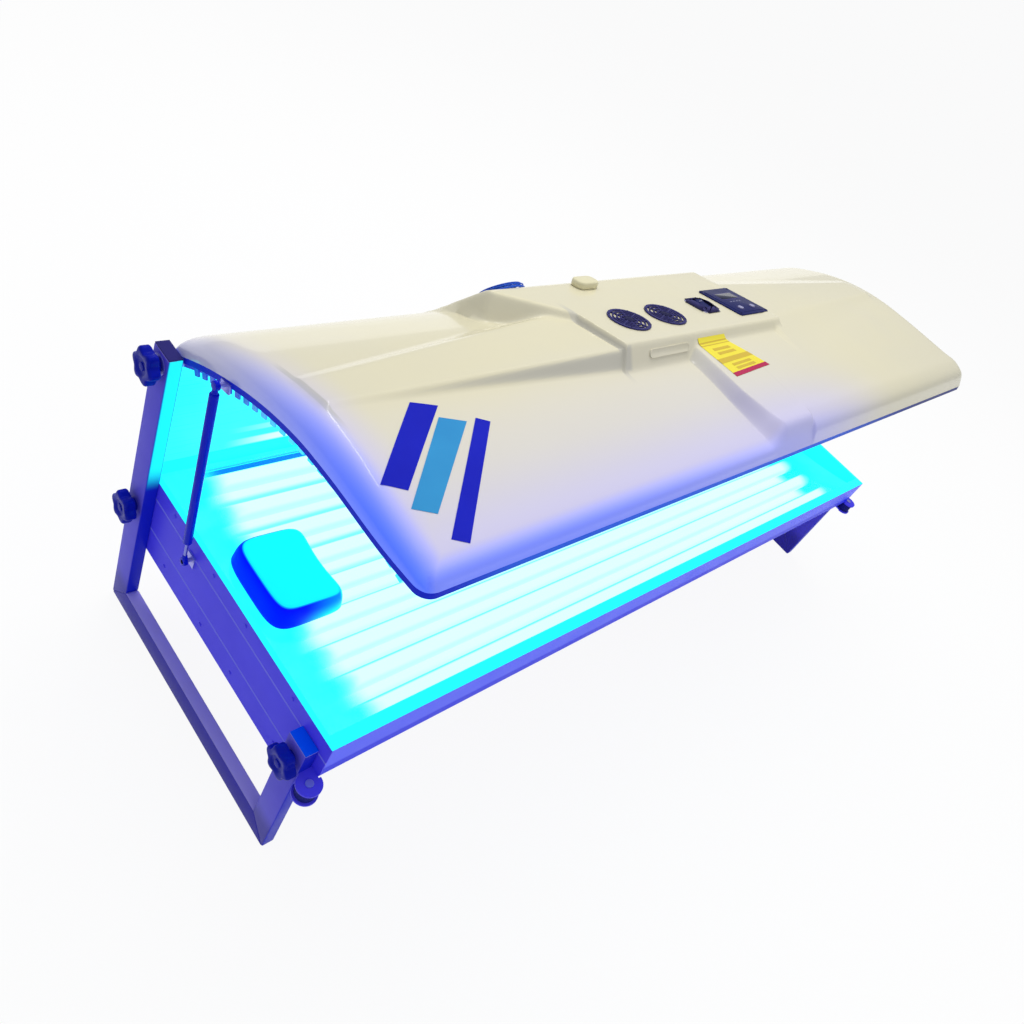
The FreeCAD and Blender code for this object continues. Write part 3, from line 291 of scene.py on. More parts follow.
def newGroup(name, inputs, outputs):
    group = bpy.data.node_groups.new(name, "ShaderNodeTree")
    for label, kind, value in inputs:
        socket = group.interface.new_socket(name=label, in_out="INPUT", socket_type="NodeSocket" + kind)
        if value is not None:
            socket.default_value = value
    for label, kind in outputs:
        group.interface.new_socket(name=label, in_out="OUTPUT", socket_type="NodeSocket" + kind)
    given = [signal(socket) for socket in group.nodes.new("NodeGroupInput").outputs if socket.name]
    return group, given, group.nodes.new("NodeGroupOutput").inputs


def makeMottle():
    # paint that drifts a little towards a second colour in soft patches
    group, (place, colour, shade, scale, amount), result = newGroup("mottle", [
        ("Place", "Vector", None), ("Colour", "Color", (0.5, 0.5, 0.5, 1)),
        ("Shade", "Color", (0.4, 0.4, 0.4, 1)),
        ("Patch Scale", "Float", 8.0), ("Amount", "Float", 0.3)], [("Colour", "Color")])
    spread = noise(place, scale, 4.0).ramped(0.32, 0.68)
    feed(result["Colour"], (spread * amount).mixed(colour, shade))
    return group


def makeGrain():
    # fine moulded or sprayed texture: a bumped normal and a roughness that varies with it
    group, (place, scale, depth, smooth, rough), result = newGroup("grain", [
        ("Place", "Vector", None), ("Grain Scale", "Float", 600.0), ("Depth", "Float", 0.0001),
        ("Smooth", "Float", 0.3), ("Rough", "Float", 0.4)], [("Roughness", "Float"), ("Normal", "Vector")])
    bump = addNode(group, "ShaderNodeBump")
    feed(bump.inputs["Distance"], depth)
    feed(bump.inputs["Height"], noise(place, scale))
    feed(result["Normal"], signal(bump.outputs[0]))
    feed(result["Roughness"], noise(place, 14.0, 5.0) * (rough - smooth) + smooth)
    return group


def makeStreaks():
    # fine lines drawn along X, as on rolled or brushed sheet
    group, (place, smooth, rough), result = newGroup("rolledStreaks", [
        ("Place", "Vector", None), ("Smooth", "Float", 0.15), ("Rough", "Float", 0.4)],
        [("Roughness", "Float"), ("Mask", "Float")])
    squash = addNode(group, "ShaderNodeVectorMath", operation="MULTIPLY")
    squash.inputs[1].default_value = (4, 900, 900)
    feed(squash.inputs[0], place)
    lines = noise(signal(squash.outputs[0]), 1.0)
    feed(result["Roughness"], lines * (rough - smooth) + smooth)
    feed(result["Mask"], lines)
    return group


mottle = makeMottle()
grain = makeGrain()
rolledStreaks = makeStreaks()


def grouped(group, place, *values):
    # the group's outputs, with its inputs filled in their order
    node = addNode(place.tree, "ShaderNodeGroup", node_tree=group)
    for socket, value in zip(node.inputs, (place, *values)):
        feed(socket, value)
    return [signal(socket) for socket in node.outputs]


def newMaterial(name, **values):
    material = bpy.data.materials.new(name)
    material.use_nodes = True
    shader = material.node_tree.nodes["Principled BSDF"]
    for key, value in values.items():
        feed(shader.inputs[key], value)
    place = addNode(material.node_tree, "ShaderNodeTexCoord").outputs["Object"]
    return material, shader.inputs, signal(place)


def facing(place):
    return signal(addNode(place.tree, "ShaderNodeNewGeometry").outputs["Normal"]).split()


def giveGrain(shader, place, *values):
    roughness, normal = grouped(grain, place, *values)
    feed(shader["Roughness"], roughness)
    feed(shader["Normal"], normal)


def finishMaterial(name, look, **values):
    # the usual finish: mottled colour with a fine grain
    colour, shade, smooth, rough = look
    material, shader, place = newMaterial(name, **values)
    colour = grouped(mottle, place, colour, shade, 9.0, 0.5)[0]
    giveGrain(shader, place, 700.0, 0.00008, smooth, rough)
    feed(shader["Base Color"], colour)
    return material, shader, colour, place


# ---------- finishes ----------

looks = {
    # colour, the shade that it drifts to, and its least and greatest roughness
    "framePaint": ((0.125, 0.108, 0.78), (0.09, 0.08, 0.66), 0.3, 0.46),
    "panelPaint": ((0.085, 0.070, 0.92), (0.07, 0.055, 0.84), 0.28, 0.42),
    "railPaint": ((0.12, 0.15, 1.0), (0.10, 0.13, 0.94), 0.28, 0.42),
    "knobPlastic": ((0.003, 0.010, 0.40), (0.002, 0.006, 0.26), 0.24, 0.36),
    # bright blue stands for the lamps' painted glow on the front post cap
    "litCapPlastic": ((0.0, 0.10, 1.0), (0.0, 0.07, 0.86), 0.22, 0.34),
    "darkPlastic": ((0.026, 0.024, 0.17), (0.018, 0.016, 0.12), 0.36, 0.5),
    "trimPlastic": ((0.030, 0.16, 1.0), (0.024, 0.14, 0.94), 0.34, 0.5),
    "combPlastic": ((0.05, 0.13, 0.86), (0.03, 0.12, 0.80), 0.2, 0.34),
    "zincSteel": ((0.36, 0.36, 0.82), (0.26, 0.26, 0.74), 0.24, 0.44),
    "strutPaint": ((0.001, 0.012, 0.66), (0.001, 0.008, 0.46), 0.14, 0.26),
    "strutChrome": ((0.20, 0.22, 0.62), (0.14, 0.16, 0.55), 0.08, 0.16),
    "wheelRubber": ((0.012, 0.016, 0.20), (0.008, 0.01, 0.12), 0.5, 0.7),
    "fanPlastic": ((0.040, 0.038, 0.15), (0.028, 0.026, 0.11), 0.34, 0.48),
    "fanDark": ((0.012, 0.012, 0.06), (0.008, 0.008, 0.04), 0.4, 0.55),
    "timerPlastic": ((0.014, 0.018, 0.10), (0.010, 0.012, 0.07), 0.3, 0.42),
    "switchPlastic": ((0.050, 0.046, 0.16), (0.036, 0.034, 0.12), 0.3, 0.42),
    "guardPlastic": ((0.02, 0.10, 0.62), (0.012, 0.06, 0.45), 0.18, 0.3),
    "buttonPlastic": ((0.30, 0.30, 0.46), (0.24, 0.24, 0.4), 0.25, 0.4),
    "creamPlastic": ((0.70, 0.66, 0.44), (0.64, 0.60, 0.40), 0.24, 0.36),
    "holderPlastic": ((0.10, 0.80, 0.84), (0.06, 0.7, 0.76), 0.35, 0.5),
    "ballastSteel": ((0.30, 0.31, 0.34), (0.22, 0.23, 0.26), 0.35, 0.55),
    "yellowFilm": ((0.82, 0.72, 0.07), (0.78, 0.66, 0.05), 0.22, 0.32),
    "ochreFilm": ((0.62, 0.45, 0.06), (0.56, 0.40, 0.05), 0.22, 0.32),
    "crimsonFilm": ((0.46, 0.03, 0.10), (0.40, 0.02, 0.08), 0.22, 0.32),
    "navyFilm": ((0.010, 0.016, 0.50), (0.008, 0.012, 0.42), 0.2, 0.3),
    "skyFilm": ((0.04, 0.30, 0.62), (0.03, 0.24, 0.55), 0.2, 0.3),
    "displayGlass": ((0.004, 0.006, 0.03), (0.006, 0.01, 0.045), 0.05, 0.1),
}
dull = {"Specular IOR Level": 0.06}
black = (0.0, 0.0, 0.0)
finishes = {}


def makeFinishes():
    shine = {"strutPaint": 0.1, "guardPlastic": 0.2, "displayGlass": 0.25}
    metal = {"zincSteel": 0.75, "strutChrome": 0.9}
    bright = ("zincSteel", "strutChrome", "creamPlastic")
    for name, look in looks.items():
        if name not in ("framePaint", "railPaint", "combPlastic", "trimPlastic"):
            finishes[name] = finishMaterial(name, look, **{
                "Coat Weight": shine.get(name, 0.01), "Coat Roughness": 0.12,
                "Metallic": metal.get(name, 0.0),
                "Specular IOR Level": 0.5 if name in bright else 0.06})[0]


def inwardShare(normal, spot):
    # 1 on faces that look at the middle of the bed, 0 on those that look away from it
    return ((normal[0] * spot[0] + normal[1] * spot[1]) * -1.0).ramped(0.1, 0.25)


def makeFramePaint():
    # powder coat with painted lamp light: painted deeper blue on the faces that look along the bed's front, a
    # painted paler top, and darker near the floor; beside the rear panel the posts get a painted cyan glow in
    # the lamps' colour, up to a dark line at their corner
    material, shader, colour, place = finishMaterial("framePaint", looks["framePaint"], **dull)
    normal, spot = facing(place), place.split()
    front, outward = normal[1] * -1.0, abs(spot[0])
    # darker near the floor, then painted lamp blue on faces towards the front and painted light on upward
    # faces
    for share, shade in ((spot[2].ramped(0.10, 0.05), (0.055, 0.048, 0.44)),
                         (front.ramped(0.35, 0.9), (0.010, 0.02, 0.62)),
                         (normal[2].ramped(0.4, 0.9), (0.42, 0.38, 0.88))):
        colour = share.mixed(colour, shade)
    # painted cyan glow on the posts' faces towards the bed, in a band beside the rear panel
    side = front.ramped(0.6, 0.8).larger(inwardShare(normal, spot))
    band = outward.ramped(0.9645, 0.9615) * outward.ramped(0.9408, 0.9428)
    lit = side * spot[2].ramped(0.34, 0.40) * band
    feed(shader["Base Color"], lit.mixed(colour, (0.01, 0.3, 0.35)))
    feed(shader["Emission Color"], lit.mixed(black, (0.012, 0.85, 0.95)))
    feed(shader["Emission Strength"], 0.95)
    return material


glow = {"cyan": (0.012, 0.98, 1.0), "white": (0.90, 1.0, 1.0), "edgeX": (0.80, 0.865), "pitch": 0.068,
        "lampArc": 1.276, "dishCentre": 1.538, "dishY": 0.01225}


def makeBedGlow():
    # white along the lamps, with a cyan line on each one's rear flank, and cyan past their lit ends
    for name, strength in (("litTube", 1.0), ("litReflector", 0.97)):
        material, shader, place = newMaterial(name, **{"Base Color": (0.02, 0.30, 0.34),
                                                       "Emission Strength": strength})
        x, y, z = place.split()
        feed(shader["Roughness"], grouped(rolledStreaks, place, 0.2, 0.4)[0])
        end = (noise(place, 30.0) * 0.03 + abs(x)).ramped(*glow["edgeX"])
        if name == "litTube":
            back = facing(place)[1]
            dim = back.ramped(0.42, 0.72).larger((back * -1.0).ramped(0.6, 0.95) * 0.3)
        else:
            # the reflector's glow is painted lamp light: white under each lamp as a painted reflection, cyan
            # between
            # 0 under a lamp and 1 half way between two lamps, round the dish
            angle = (y - glow["dishY"]).calculated("ARCTAN2", z * -1.0 + glow["dishCentre"])
            lane = (angle * (glow["lampArc"] / glow["pitch"])).calculated("PINGPONG", 0.5) * 2.0
            dim = lane.ramped(0.55, 0.9) * (y.ramped(-0.04, 0.12) * 0.55 + 0.2)
        feed(shader["Emission Color"], end.larger(dim).mixed(glow["white"], glow["cyan"]))
        finishes[name] = material


def makeCanopyGlow():
    # the canopy's lamps are on too, seen from below
    finishes["litCanopyTube"], shader, place = newMaterial("litCanopyTube", **{
        "Base Color": (0.02, 0.2, 0.3), "Roughness": 0.3, "Emission Strength": 0.8})
    end = abs(place.split()[0]).ramped(*glow["edgeX"])
    feed(shader["Emission Color"], end.mixed((0.62, 0.96, 1.0), (0.02, 0.45, 1.0)))
    # the canopy's reflector sheet gets a painted glow in the lamps' colour along its streaks
    finishes["canopyBrightSheet"], shader, place = newMaterial("canopyBrightSheet", **{
        "Base Color": (0.25, 0.62, 0.95), "Metallic": 0.9, "Emission Strength": 0.25})
    roughness, mask = grouped(rolledStreaks, place, 0.12, 0.32)
    feed(shader["Roughness"], roughness)
    feed(shader["Emission Color"], mask.mixed((0.05, 0.6, 1.0), (0.1, 0.75, 1.0)))


def makeClearSheets():
    # the bed's acrylic glows at its rims, where the light inside it comes out
    look = {"lowAlpha": 0.10, "highAlpha": 0.94, "edge": (0.80, 0.885), "side": (0.284, 0.2965)}
    finishes["bedAcrylic"], shader, place = newMaterial("bedAcrylic", **{
        "Base Color": (0.02, 0.55, 0.62), "Coat Weight": 0.4, "Coat Roughness": 0.04,
        "Emission Strength": 0.92})
    x, y, z = place.split()
    rim = abs(x).ramped(*look["edge"]).larger(abs(y - glow["dishY"]).ramped(*look["side"]))
    feed(shader["Alpha"], rim * (look["highAlpha"] - look["lowAlpha"]) + look["lowAlpha"])
    feed(shader["Emission Color"], grouped(mottle, place, glow["cyan"], (0.05, 0.90, 0.98), 5.0, 0.8)[0])
    feed(shader["Roughness"], grouped(grain, place, 300.0, 0.00003, 0.06, 0.14)[0])
    finishes["canopyAcrylic"], shader, place = newMaterial("canopyAcrylic", **{
        "Base Color": (0.3, 0.75, 1.0), "Coat Weight": 0.4, "Alpha": 0.25})
    feed(shader["Roughness"], grouped(grain, place, 300.0, 0.00003, 0.05, 0.12)[0])


def makeRearSheet():
    # bright panel behind the bed, washed with the lamps' light
    material, shader, place = newMaterial("rearSheet", **{"Metallic": 0.3, "Emission Strength": 0.95})
    feed(shader["Roughness"], grouped(rolledStreaks, place, 0.2, 0.4)[0])
    lit = grouped(mottle, place, glow["cyan"], (0.05, 0.92, 1.0), 3.0, 0.8)[0]
    # the last lamps mirror in it as pale bands near its foot
    x, y, z = place.split()
    inside = abs(x).ramped(0.80, 0.68)
    for height, half, share in ((0.366, 0.011, 0.85), (0.399, 0.009, 0.3)):
        band = abs(z - height).ramped(half, half * 0.5) * share * inside
        lit = band.mixed(lit, glow["white"])
    # the outer side faces the room and stays unlit
    back = facing(place)[1].ramped(0.2, 0.6)
    feed(shader["Emission Color"], back.mixed(lit, black))
    feed(shader["Base Color"], back.mixed((0.02, 0.4, 0.45), (0.42, 0.44, 0.62)))
    return material


def makeLitEdgePaint(name, look, creases=()):
    # paint with painted lamp light: a painted cyan glow on its top and on the faces towards the lamps;
    # the rails' outer walls darken below as painted shade, and the end panels' pressed creases get painted
    # highlight lines
    material, shader, colour, place = finishMaterial(name, look, **{"Emission Strength": 0.9}, **dull)
    normal, spot = facing(place), place.split()
    # painted highlight lines along the end panels' pressed creases
    for height in creases:
        colour = (abs(spot[2] - height).ramped(0.0030, 0.0012) * 0.75).mixed(colour, (0.26, 0.27, 0.92))
    # painted shade on the lower part of the rails' outer walls
    if not creases:
        colour = spot[2].ramped(0.304, 0.294).mixed(colour, (0.010, 0.014, 0.70))
    top = normal[2].ramped(0.3, 0.7) * spot[2].ramped(0.320, 0.335)
    lit = top.larger(inwardShare(normal, spot))
    # the faces away from the lamps keep a faint painted blue glow
    plain = (0.0, 0.0, 0.05) if creases else (0.0, 0.008, 0.22)
    feed(shader["Emission Color"], lit.mixed(plain, (0.012, 0.92, 1.0)))
    feed(shader["Base Color"], lit.mixed(colour, (0.02, 0.4, 0.45)))
    return material


def makeCombPlastic():
    # blue combs that glow cyan towards the front, where the lamps shine through between their teeth
    material, shader, colour, place = finishMaterial("combPlastic", looks["combPlastic"],
                                                     **{"Emission Strength": 0.75})
    share = place.split()[1].ramped(0.16, -0.04)
    feed(shader["Base Color"], share.mixed(colour, (0.01, 0.45, 0.8)))
    feed(shader["Emission Color"], share.mixed((0.0, 0.02, 0.12), (0.012, 0.75, 1.0)))
    return material


def makeTrimPlastic():
    # lit blue near the head, plain navy at the foot
    material, shader, colour, place = finishMaterial("trimPlastic", looks["trimPlastic"], **dull)
    along = place.split()[0]
    colour = along.ramped(-0.75, -0.93).mixed(colour, (0.012, 0.03, 0.72))
    feed(shader["Base Color"], along.ramped(0.0, 0.7).mixed(colour, (0.03, 0.045, 0.24)))
    return material


shellLook = {
    "cream": (0.735, 0.690, 0.485), "creamShade": (0.715, 0.675, 0.500), "front": (0.69, 0.665, 0.63),
    "lampLavender": (0.60, 0.575, 0.86), "violet": (0.07, 0.16, 1.0), "glow": (0.0, 0.045, 0.42),
    "shadeGrey": (0.50, 0.49, 0.44), "shadeMauve": (0.40, 0.385, 0.62),
    "headX": (-0.83, -0.932), "rimX": (-0.885, -0.938), "frontReach": (0.47, 0.63), "frontX": (0.50, 0.0),
    "rimReach": (0.590, 0.622), "smooth": 0.2, "rough": 0.3,
}


def makeShellPlastic():
    # cream formed plastic with painted lamp light: a painted violet glow at the head rim and along the front
    # rim, a paler painted violet wash towards the head and the front, and painted shade on its steep flanks
    look = shellLook
    material, shader, place = newMaterial("shellPlastic", **{"Coat Weight": 0.5, "Coat Roughness": 0.04,
                                                             "Emission Strength": 1.0})
    local = addNode(place.tree, "ShaderNodeMapping")
    local.inputs["Location"].default_value = -(Matrix.Rotation(openAngle, 3, "X") @ hingePlace)
    local.inputs["Rotation"].default_value = (openAngle, 0, 0)
    feed(local.inputs["Vector"], place)
    alongX, back, height = signal(local.outputs[0]).split()
    reach = back * -1.0
    base = grouped(mottle, place, look["cream"], look["creamShade"], 4.0, 0.7)[0]
    base = (reach.ramped(0.30, 0.52) * alongX.ramped(0.5, -0.2)).mixed(base, look["front"])
    headLine = reach.ramped(0.06, 0.55) * 0.8 + 0.2
    head = alongX.ramped(*look["headX"]) * headLine
    front = reach.ramped(*look["frontReach"]) * alongX.ramped(*look["frontX"])
    base = (head * 1.2).calculated("MINIMUM", 1.0).larger(front).mixed(base, look["lampLavender"])
    # painted shade on the steep flanks of the ridge, the groove beside the box and the step
    normal = facing(place)
    steepX = (normal[0] * -1.0).ramped(0.30, 0.65)
    steepY = (normal[1] * -1.0).ramped(0.42, 0.70)
    flank = steepY * alongX.ramped(-0.262, -0.275) * reach.ramped(0.44, 0.41)
    riser = steepX * alongX.near(-0.08, 0.10) * reach.ramped(0.33, 0.36)
    flare = steepX * alongX.near(-0.34, 0.06) * reach.ramped(0.26, 0.22) * 0.5
    groove = alongX.near(-0.2875, 0.004) * reach.near(0.298, 0.06)
    tip = alongX.near(-0.8945, 0.003) * reach.near(0.286, 0.05)
    shade = flank.larger(riser).larger(groove.larger(tip)).larger(flare)
    base = (shade * 0.75).mixed(base, reach.ramped(0.36, 0.55).mixed(look["shadeGrey"], look["shadeMauve"]))
    # painted violet lamp light and a painted glow on the head rim and the front rim face
    rimFront = reach.ramped(*look["rimReach"]) * alongX.ramped(0.5, -0.75) * 0.7
    rim = (headLine * alongX.ramped(*look["rimX"])).larger(rimFront)
    feed(shader["Base Color"], (rim * 0.92).mixed(base, look["violet"]))
    feed(shader["Emission Color"], rim.mixed(black, look["glow"]))
    giveGrain(shader, place, 90.0, 0.00006, look["smooth"], look["rough"])
    return material


def makeRestPlastic():
    # moulded rest: lit cyan on top and towards the foot, deep blue on its shaded walls
    look = {"lit": (0.006, 0.80, 1.0), "deep": (0.0, 0.002, 1.0), "mid": (0.0, 0.22, 0.98)}
    material, shader, place = newMaterial("restPlastic", **{"Specular IOR Level": 0.08,
                                                            "Emission Strength": 0.55})
    normal, (x, y, z) = facing(place), place.split()
    glance = x.ramped(-0.846, -0.731) * z.ramped(0.325, 0.29)
    lit = normal[2].ramped(0.72, 0.985).larger(normal[0].ramped(0.3, 0.8)).larger(glance)
    colour = lit.mixed(x.ramped(-0.83, -0.74).mixed(look["deep"], look["mid"]), look["lit"])
    feed(shader["Base Color"], colour)
    feed(shader["Emission Color"], colour)
    giveGrain(shader, place, 500.0, 0.0001, 0.34, 0.5)
    return material


makeFinishes()
makeBedGlow()
makeCanopyGlow()
makeClearSheets()
finishes.update({
    "framePaint": makeFramePaint(), "shellPlastic": makeShellPlastic(), "restPlastic": makeRestPlastic(),
    "endPanelPaint": makeLitEdgePaint("endPanelPaint", looks["panelPaint"], (0.2362, 0.3132)),
    "railPaint": makeLitEdgePaint("railPaint", looks["railPaint"]), "combPlastic": makeCombPlastic(),
    "trimPlastic": makeTrimPlastic(), "rearSheet": makeRearSheet(),
})
print("finishes made:", len(finishes))


# ---------- finishes of the frame's own nodes ----------

nodeFinishes = {
    "bed_head_panel": "endPanelPaint", "bed_foot_panel": "endPanelPaint", "bed_front_rail": "railPaint",
    "bed_rear_rail": "railPaint", "bed_belly_tray": "panelPaint", "bed_reflector": "litReflector",
    "bed_acrylic": "bedAcrylic", "bed_lamps": "litTube", "bed_lampholders": "holderPlastic",
    "bed_ballasts": "ballastSteel", "mains_inlet": "darkPlastic", "rear_reflector_panel": "rearSheet",
    "pivot_hardware": "zincSteel", "bed_clamp_studs": "zincSteel", "wheel_forks": "panelPaint",
    "wheel_axles": "zincSteel", "strut_low_brackets": "zincSteel", "strut_high_brackets": "zincSteel",
    "canopy_comb_plates": "combPlastic", "canopy_reflector": "canopyBrightSheet",
    "canopy_acrylic": "canopyAcrylic", "canopy_lamps": "litCanopyTube", "canopy_lampholders": "holderPlastic",
    "canopy_ballasts": "ballastSteel", "canopy_pivot_brackets": "zincSteel", "fan_frames": "fanDark",
    "rear_fan_frame": "fanDark", "head_fan_impeller": "fanDark", "foot_fan_impeller": "fanDark",
    "rear_fan_impeller": "fanDark",
}
for nodeName, finish in nodeFinishes.items():
    paint(nodes[nodeName], finish)
print("nodes painted:", len(nodeFinishes))


# ---------- canopy shell ----------

# profiles run from the rear rim over the top to the front rim, as (reach, height) in millimetres
canopyCover = {
    "archRim": [(-8, 10), (-4, 11.4), (22, 19.8), (130, 46), (290, 61), (345, 57.9), (400, 48.9), (560, 13.8),
                (600, 8.6), (619, 6.7), (627, 6)],
    "rimSkin": [(-8, 10), (-4, 18), (22, 25), (130, 50), (290, 65), (345, 63.5), (400, 54), (560, 22),
                (600, 14), (619, 11), (627, 6)],
    "headSkin": [(-8, 10), (-4, 35), (22, 52), (130, 84), (290, 97), (345, 95), (400, 86), (560, 42.8),
                 (600, 32), (619, 24), (627, 6)],
    "footSkin": [(-8, 10), (-3, 46), (28, 76), (130, 112), (290, 124), (350, 117), (410, 105), (550, 71.4),
                 (589, 62), (614, 44), (627, 6)],
    "facetSkin": [(-8, 10), (-3, 46), (28, 76), (130, 112), (290, 124), (350, 117), (410, 105), (565, 68),
                  (601, 59), (615, 31), (627, 6)],
    "rowCounts": [3, 6, 18, 28, 14, 14, 24, 9, 6, 6],
    "columnRuns": [(-893, -420, 9), (-420, -305, 4.5), (-305, -272, 2.2), (-272, -110, 8), (-110, -10, 3),
                   (-10, 62, 6), (62, 90, 3), (90, 270, 8), (270, 305, 2.2), (305, 893, 11)],
    "half": 938.0, "front": 627.0, "cornerRadius": 24.0, "endRun": 45.0, "endSteps": 9, "wall": 3.0 * mm,
    "riserLow": [(352, -98), (372, -92), (617, -90)],
    "riserHigh": [(352, -60), (505, -55), (601, -29), (627, -27)],
    "facetEnd": (70, 78),
    "boxTop": 135.0, "boxFoot": 46.0, "boxHalf": 281.0, "boxFront": 360.0, "boxRear": 110.0,
    "boxNotch": 235.0,
    "boxCorner": -400.0, "flareEnd": 118.0, "cornerRun": 40.0, "sideRun": 20.0, "frontRun": 45.0,
    "rearRun": 101.0, "flareRun": 55.0,
    "headRidge": [(-893, [(225, 80), (256, 100.5), (327, 101), (347, 84)]),
                  (-261, [(120, 70), (196, 123), (358, 126), (392, 70)])],
    "footRidge": [(860, [(200, 90), (240, 123), (308, 123), (340, 90)]),
                  (261, [(110, 90), (170, 130), (340, 130), (420, 90)])],
    "grooveX": -287.5, "grooveReach": (238, 358), "grooveDepth": 3.5,
}


def softHigh(first, second, blend):
    near = max(blend - abs(first - second), 0.0) / blend
    return max(first, second) + near * near * blend / 4


def softLow(first, second, blend):
    return -softHigh(-first, -second, blend)


def between(points, value):
    # straight interpolation in a list of (value, result)
    if value <= points[0][0]:
        return points[0][1]
    for a, b in zip(points, points[1:]):
        if value <= b[0]:
            return a[1] + (b[1] - a[1]) * (value - a[0]) / (b[0] - a[0])
    return points[-1][1]


def clamped(value):
    return min(max(value, 0.0), 1.0)


def easedStep(value):
    # ramp from 0 to 1 with rounded ends
    value = clamped(value)
    return value * value * (3 - 2 * value) * 0.35 + clamped((value - 0.08) / 0.84) * 0.65


def smoothProfile(points, rowCounts):
    # passes through the points with rounded bends
    slopes = []
    for i in range(len(points)):
        a = points[max(i - 1, 0)]
        b = points[i]
        c = points[min(i + 1, len(points) - 1)]
        before = max(math.dist(a, b), 1e-9)
        after = max(math.dist(b, c), 1e-9)
        if i == 0:
            slope = ((c[0] - b[0]) / after, (c[1] - b[1]) / after)
        elif i == len(points) - 1:
            slope = ((b[0] - a[0]) / before, (b[1] - a[1]) / before)
        else:
            slope = tuple((after * (b[k] - a[k]) / before + before * (c[k] - b[k]) / after) / (before + after)
                          for k in (0, 1))
        slopes.append(slope)
    rows = []
    for i, count in enumerate(rowCounts):
        a, b = points[i], points[i + 1]
        run = math.dist(a, b)
        for step in range(count):
            t = step / count
            later = 3 * t ** 2 - 2 * t ** 3
            leave, arrive = (t ** 3 - 2 * t ** 2 + t) * run, (t ** 3 - t ** 2) * run
            rows.append([(1 - later) * a[k] + later * b[k] + leave * slopes[i][k] + arrive * slopes[i + 1][k]
                         for k in (0, 1)])
    rows.append(points[-1])
    return rows


profiles = {name: smoothProfile(canopyCover[name], canopyCover["rowCounts"])
            for name in ("archRim", "rimSkin", "headSkin", "footSkin", "facetSkin")}


def boxHeight(x, reach):
    c = canopyCover
    drop = c["boxTop"] - c["boxFoot"]
    flare = (c["boxNotch"] - c["flareEnd"]) / (-c["boxHalf"] - c["boxCorner"])
    outward = (reach - c["boxNotch"] - (x + c["boxHalf"]) * flare) / math.hypot(1, flare)
    height = c["boxTop"]
    for distance, run in ((x - c["boxHalf"], c["sideRun"]), (reach - c["boxFront"], c["frontRun"]),
                          (c["boxRear"] - reach, c["rearRun"]), (c["boxCorner"] - x, c["cornerRun"])):
        height = softLow(height, c["boxTop"] - distance * drop / run, 7.0)
    # at the head side the straight wall and the flare meet in a hollow corner
    straight = c["boxTop"] - (-c["boxHalf"] - x) * drop / c["sideRun"]
    flared = c["boxTop"] - outward * drop / c["flareRun"]
    return softLow(height, softHigh(straight, flared, 10.0), 7.0)


def mixedPair(a, b, share):
    return [a[k] + (b[k] - a[k]) * share for k in (0, 1)]


def ridgeHeight(sections, x, reach):
    (tipX, tip), (rootX, root) = sections
    share = clamped((x - tipX) / (rootX - tipX))
    corners = [mixedPair(a, b, share) for a, b in zip(tip, root)]
    height = 1e3
    for a, b in zip(corners, corners[1:]):
        line = a[1] + (b[1] - a[1]) * (reach - a[0]) / (b[0] - a[0])
        height = line if height == 1e3 else softLow(height, line, 6.0)
    outside = (x - tipX) * (1 if tipX > 0 else -1)
    inside = (rootX - x) * (1 if tipX > 0 else -1)
    return softLow(height, height - max(outside, inside * 6.0, 0.0) * 1.3, 1.0)


def shellColumn(x):
    # (reach, height) of every row at one x
    c = canopyCover
    full = c["half"] - c["endRun"]
    share = 1.0
    if abs(x) > full:
        share = math.sqrt(max(1 - ((abs(x) - full) / c["endRun"]) ** 2, 0.0))
    column = []
    for i in range(len(profiles["rimSkin"])):
        head = profiles["headSkin"][i]
        if x < -110:
            skin = head
        else:
            facet = easedStep((c["facetEnd"][1] - x) / (c["facetEnd"][1] - c["facetEnd"][0]))
            foot = mixedPair(profiles["footSkin"][i], profiles["facetSkin"][i], facet)
            low = between(c["riserLow"], head[0])
            high = between(c["riserHigh"], foot[0])
            rise = easedStep((x - low) / (high - low))
            skin = mixedPair(head, foot, rise)
        reach, height = mixedPair(profiles["rimSkin"][i], skin, share)
        for feature, blend in ((ridgeHeight(c["headRidge"], x, reach), 7.0),
                               (ridgeHeight(c["footRidge"], x, reach), 26.0), (boxHeight(x, reach), 9.0)):
            if feature > height - blend:
                height = softHigh(height, feature, blend)
        near = clamped((reach - c["grooveReach"][0]) / 8) * clamped((c["grooveReach"][1] - reach) / 8)
        height -= c["grooveDepth"] * near * math.exp(-((x - c["grooveX"]) / 3.5) ** 2)
        column.append((reach, height))
    return column


def roundCorner(x, reach):
    # the front corners are rounded in plan
    c = canopyCover
    across = abs(x) - (c["half"] - c["cornerRadius"])
    ahead = reach - (c["front"] - c["cornerRadius"])
    if across > 0 and ahead > 0:
        share = max(across, ahead) / math.hypot(across, ahead)
        x = math.copysign(abs(x) - across + across * share, x)
        reach += ahead * (share - 1)
    return x, reach


def shellSpot(x, reach, proud=0.0):
    # point on the shell, in local millimetres
    column = shellColumn(x)
    for a, b in zip(column[2:], column[3:]):
        if a[0] <= reach <= b[0]:
            share = (reach - a[0]) / max(b[0] - a[0], 1e-9)
            return Vector((x, -reach, a[1] + (b[1] - a[1]) * share + proud)) * mm
    return Vector((x, -reach, column[-1][1])) * mm


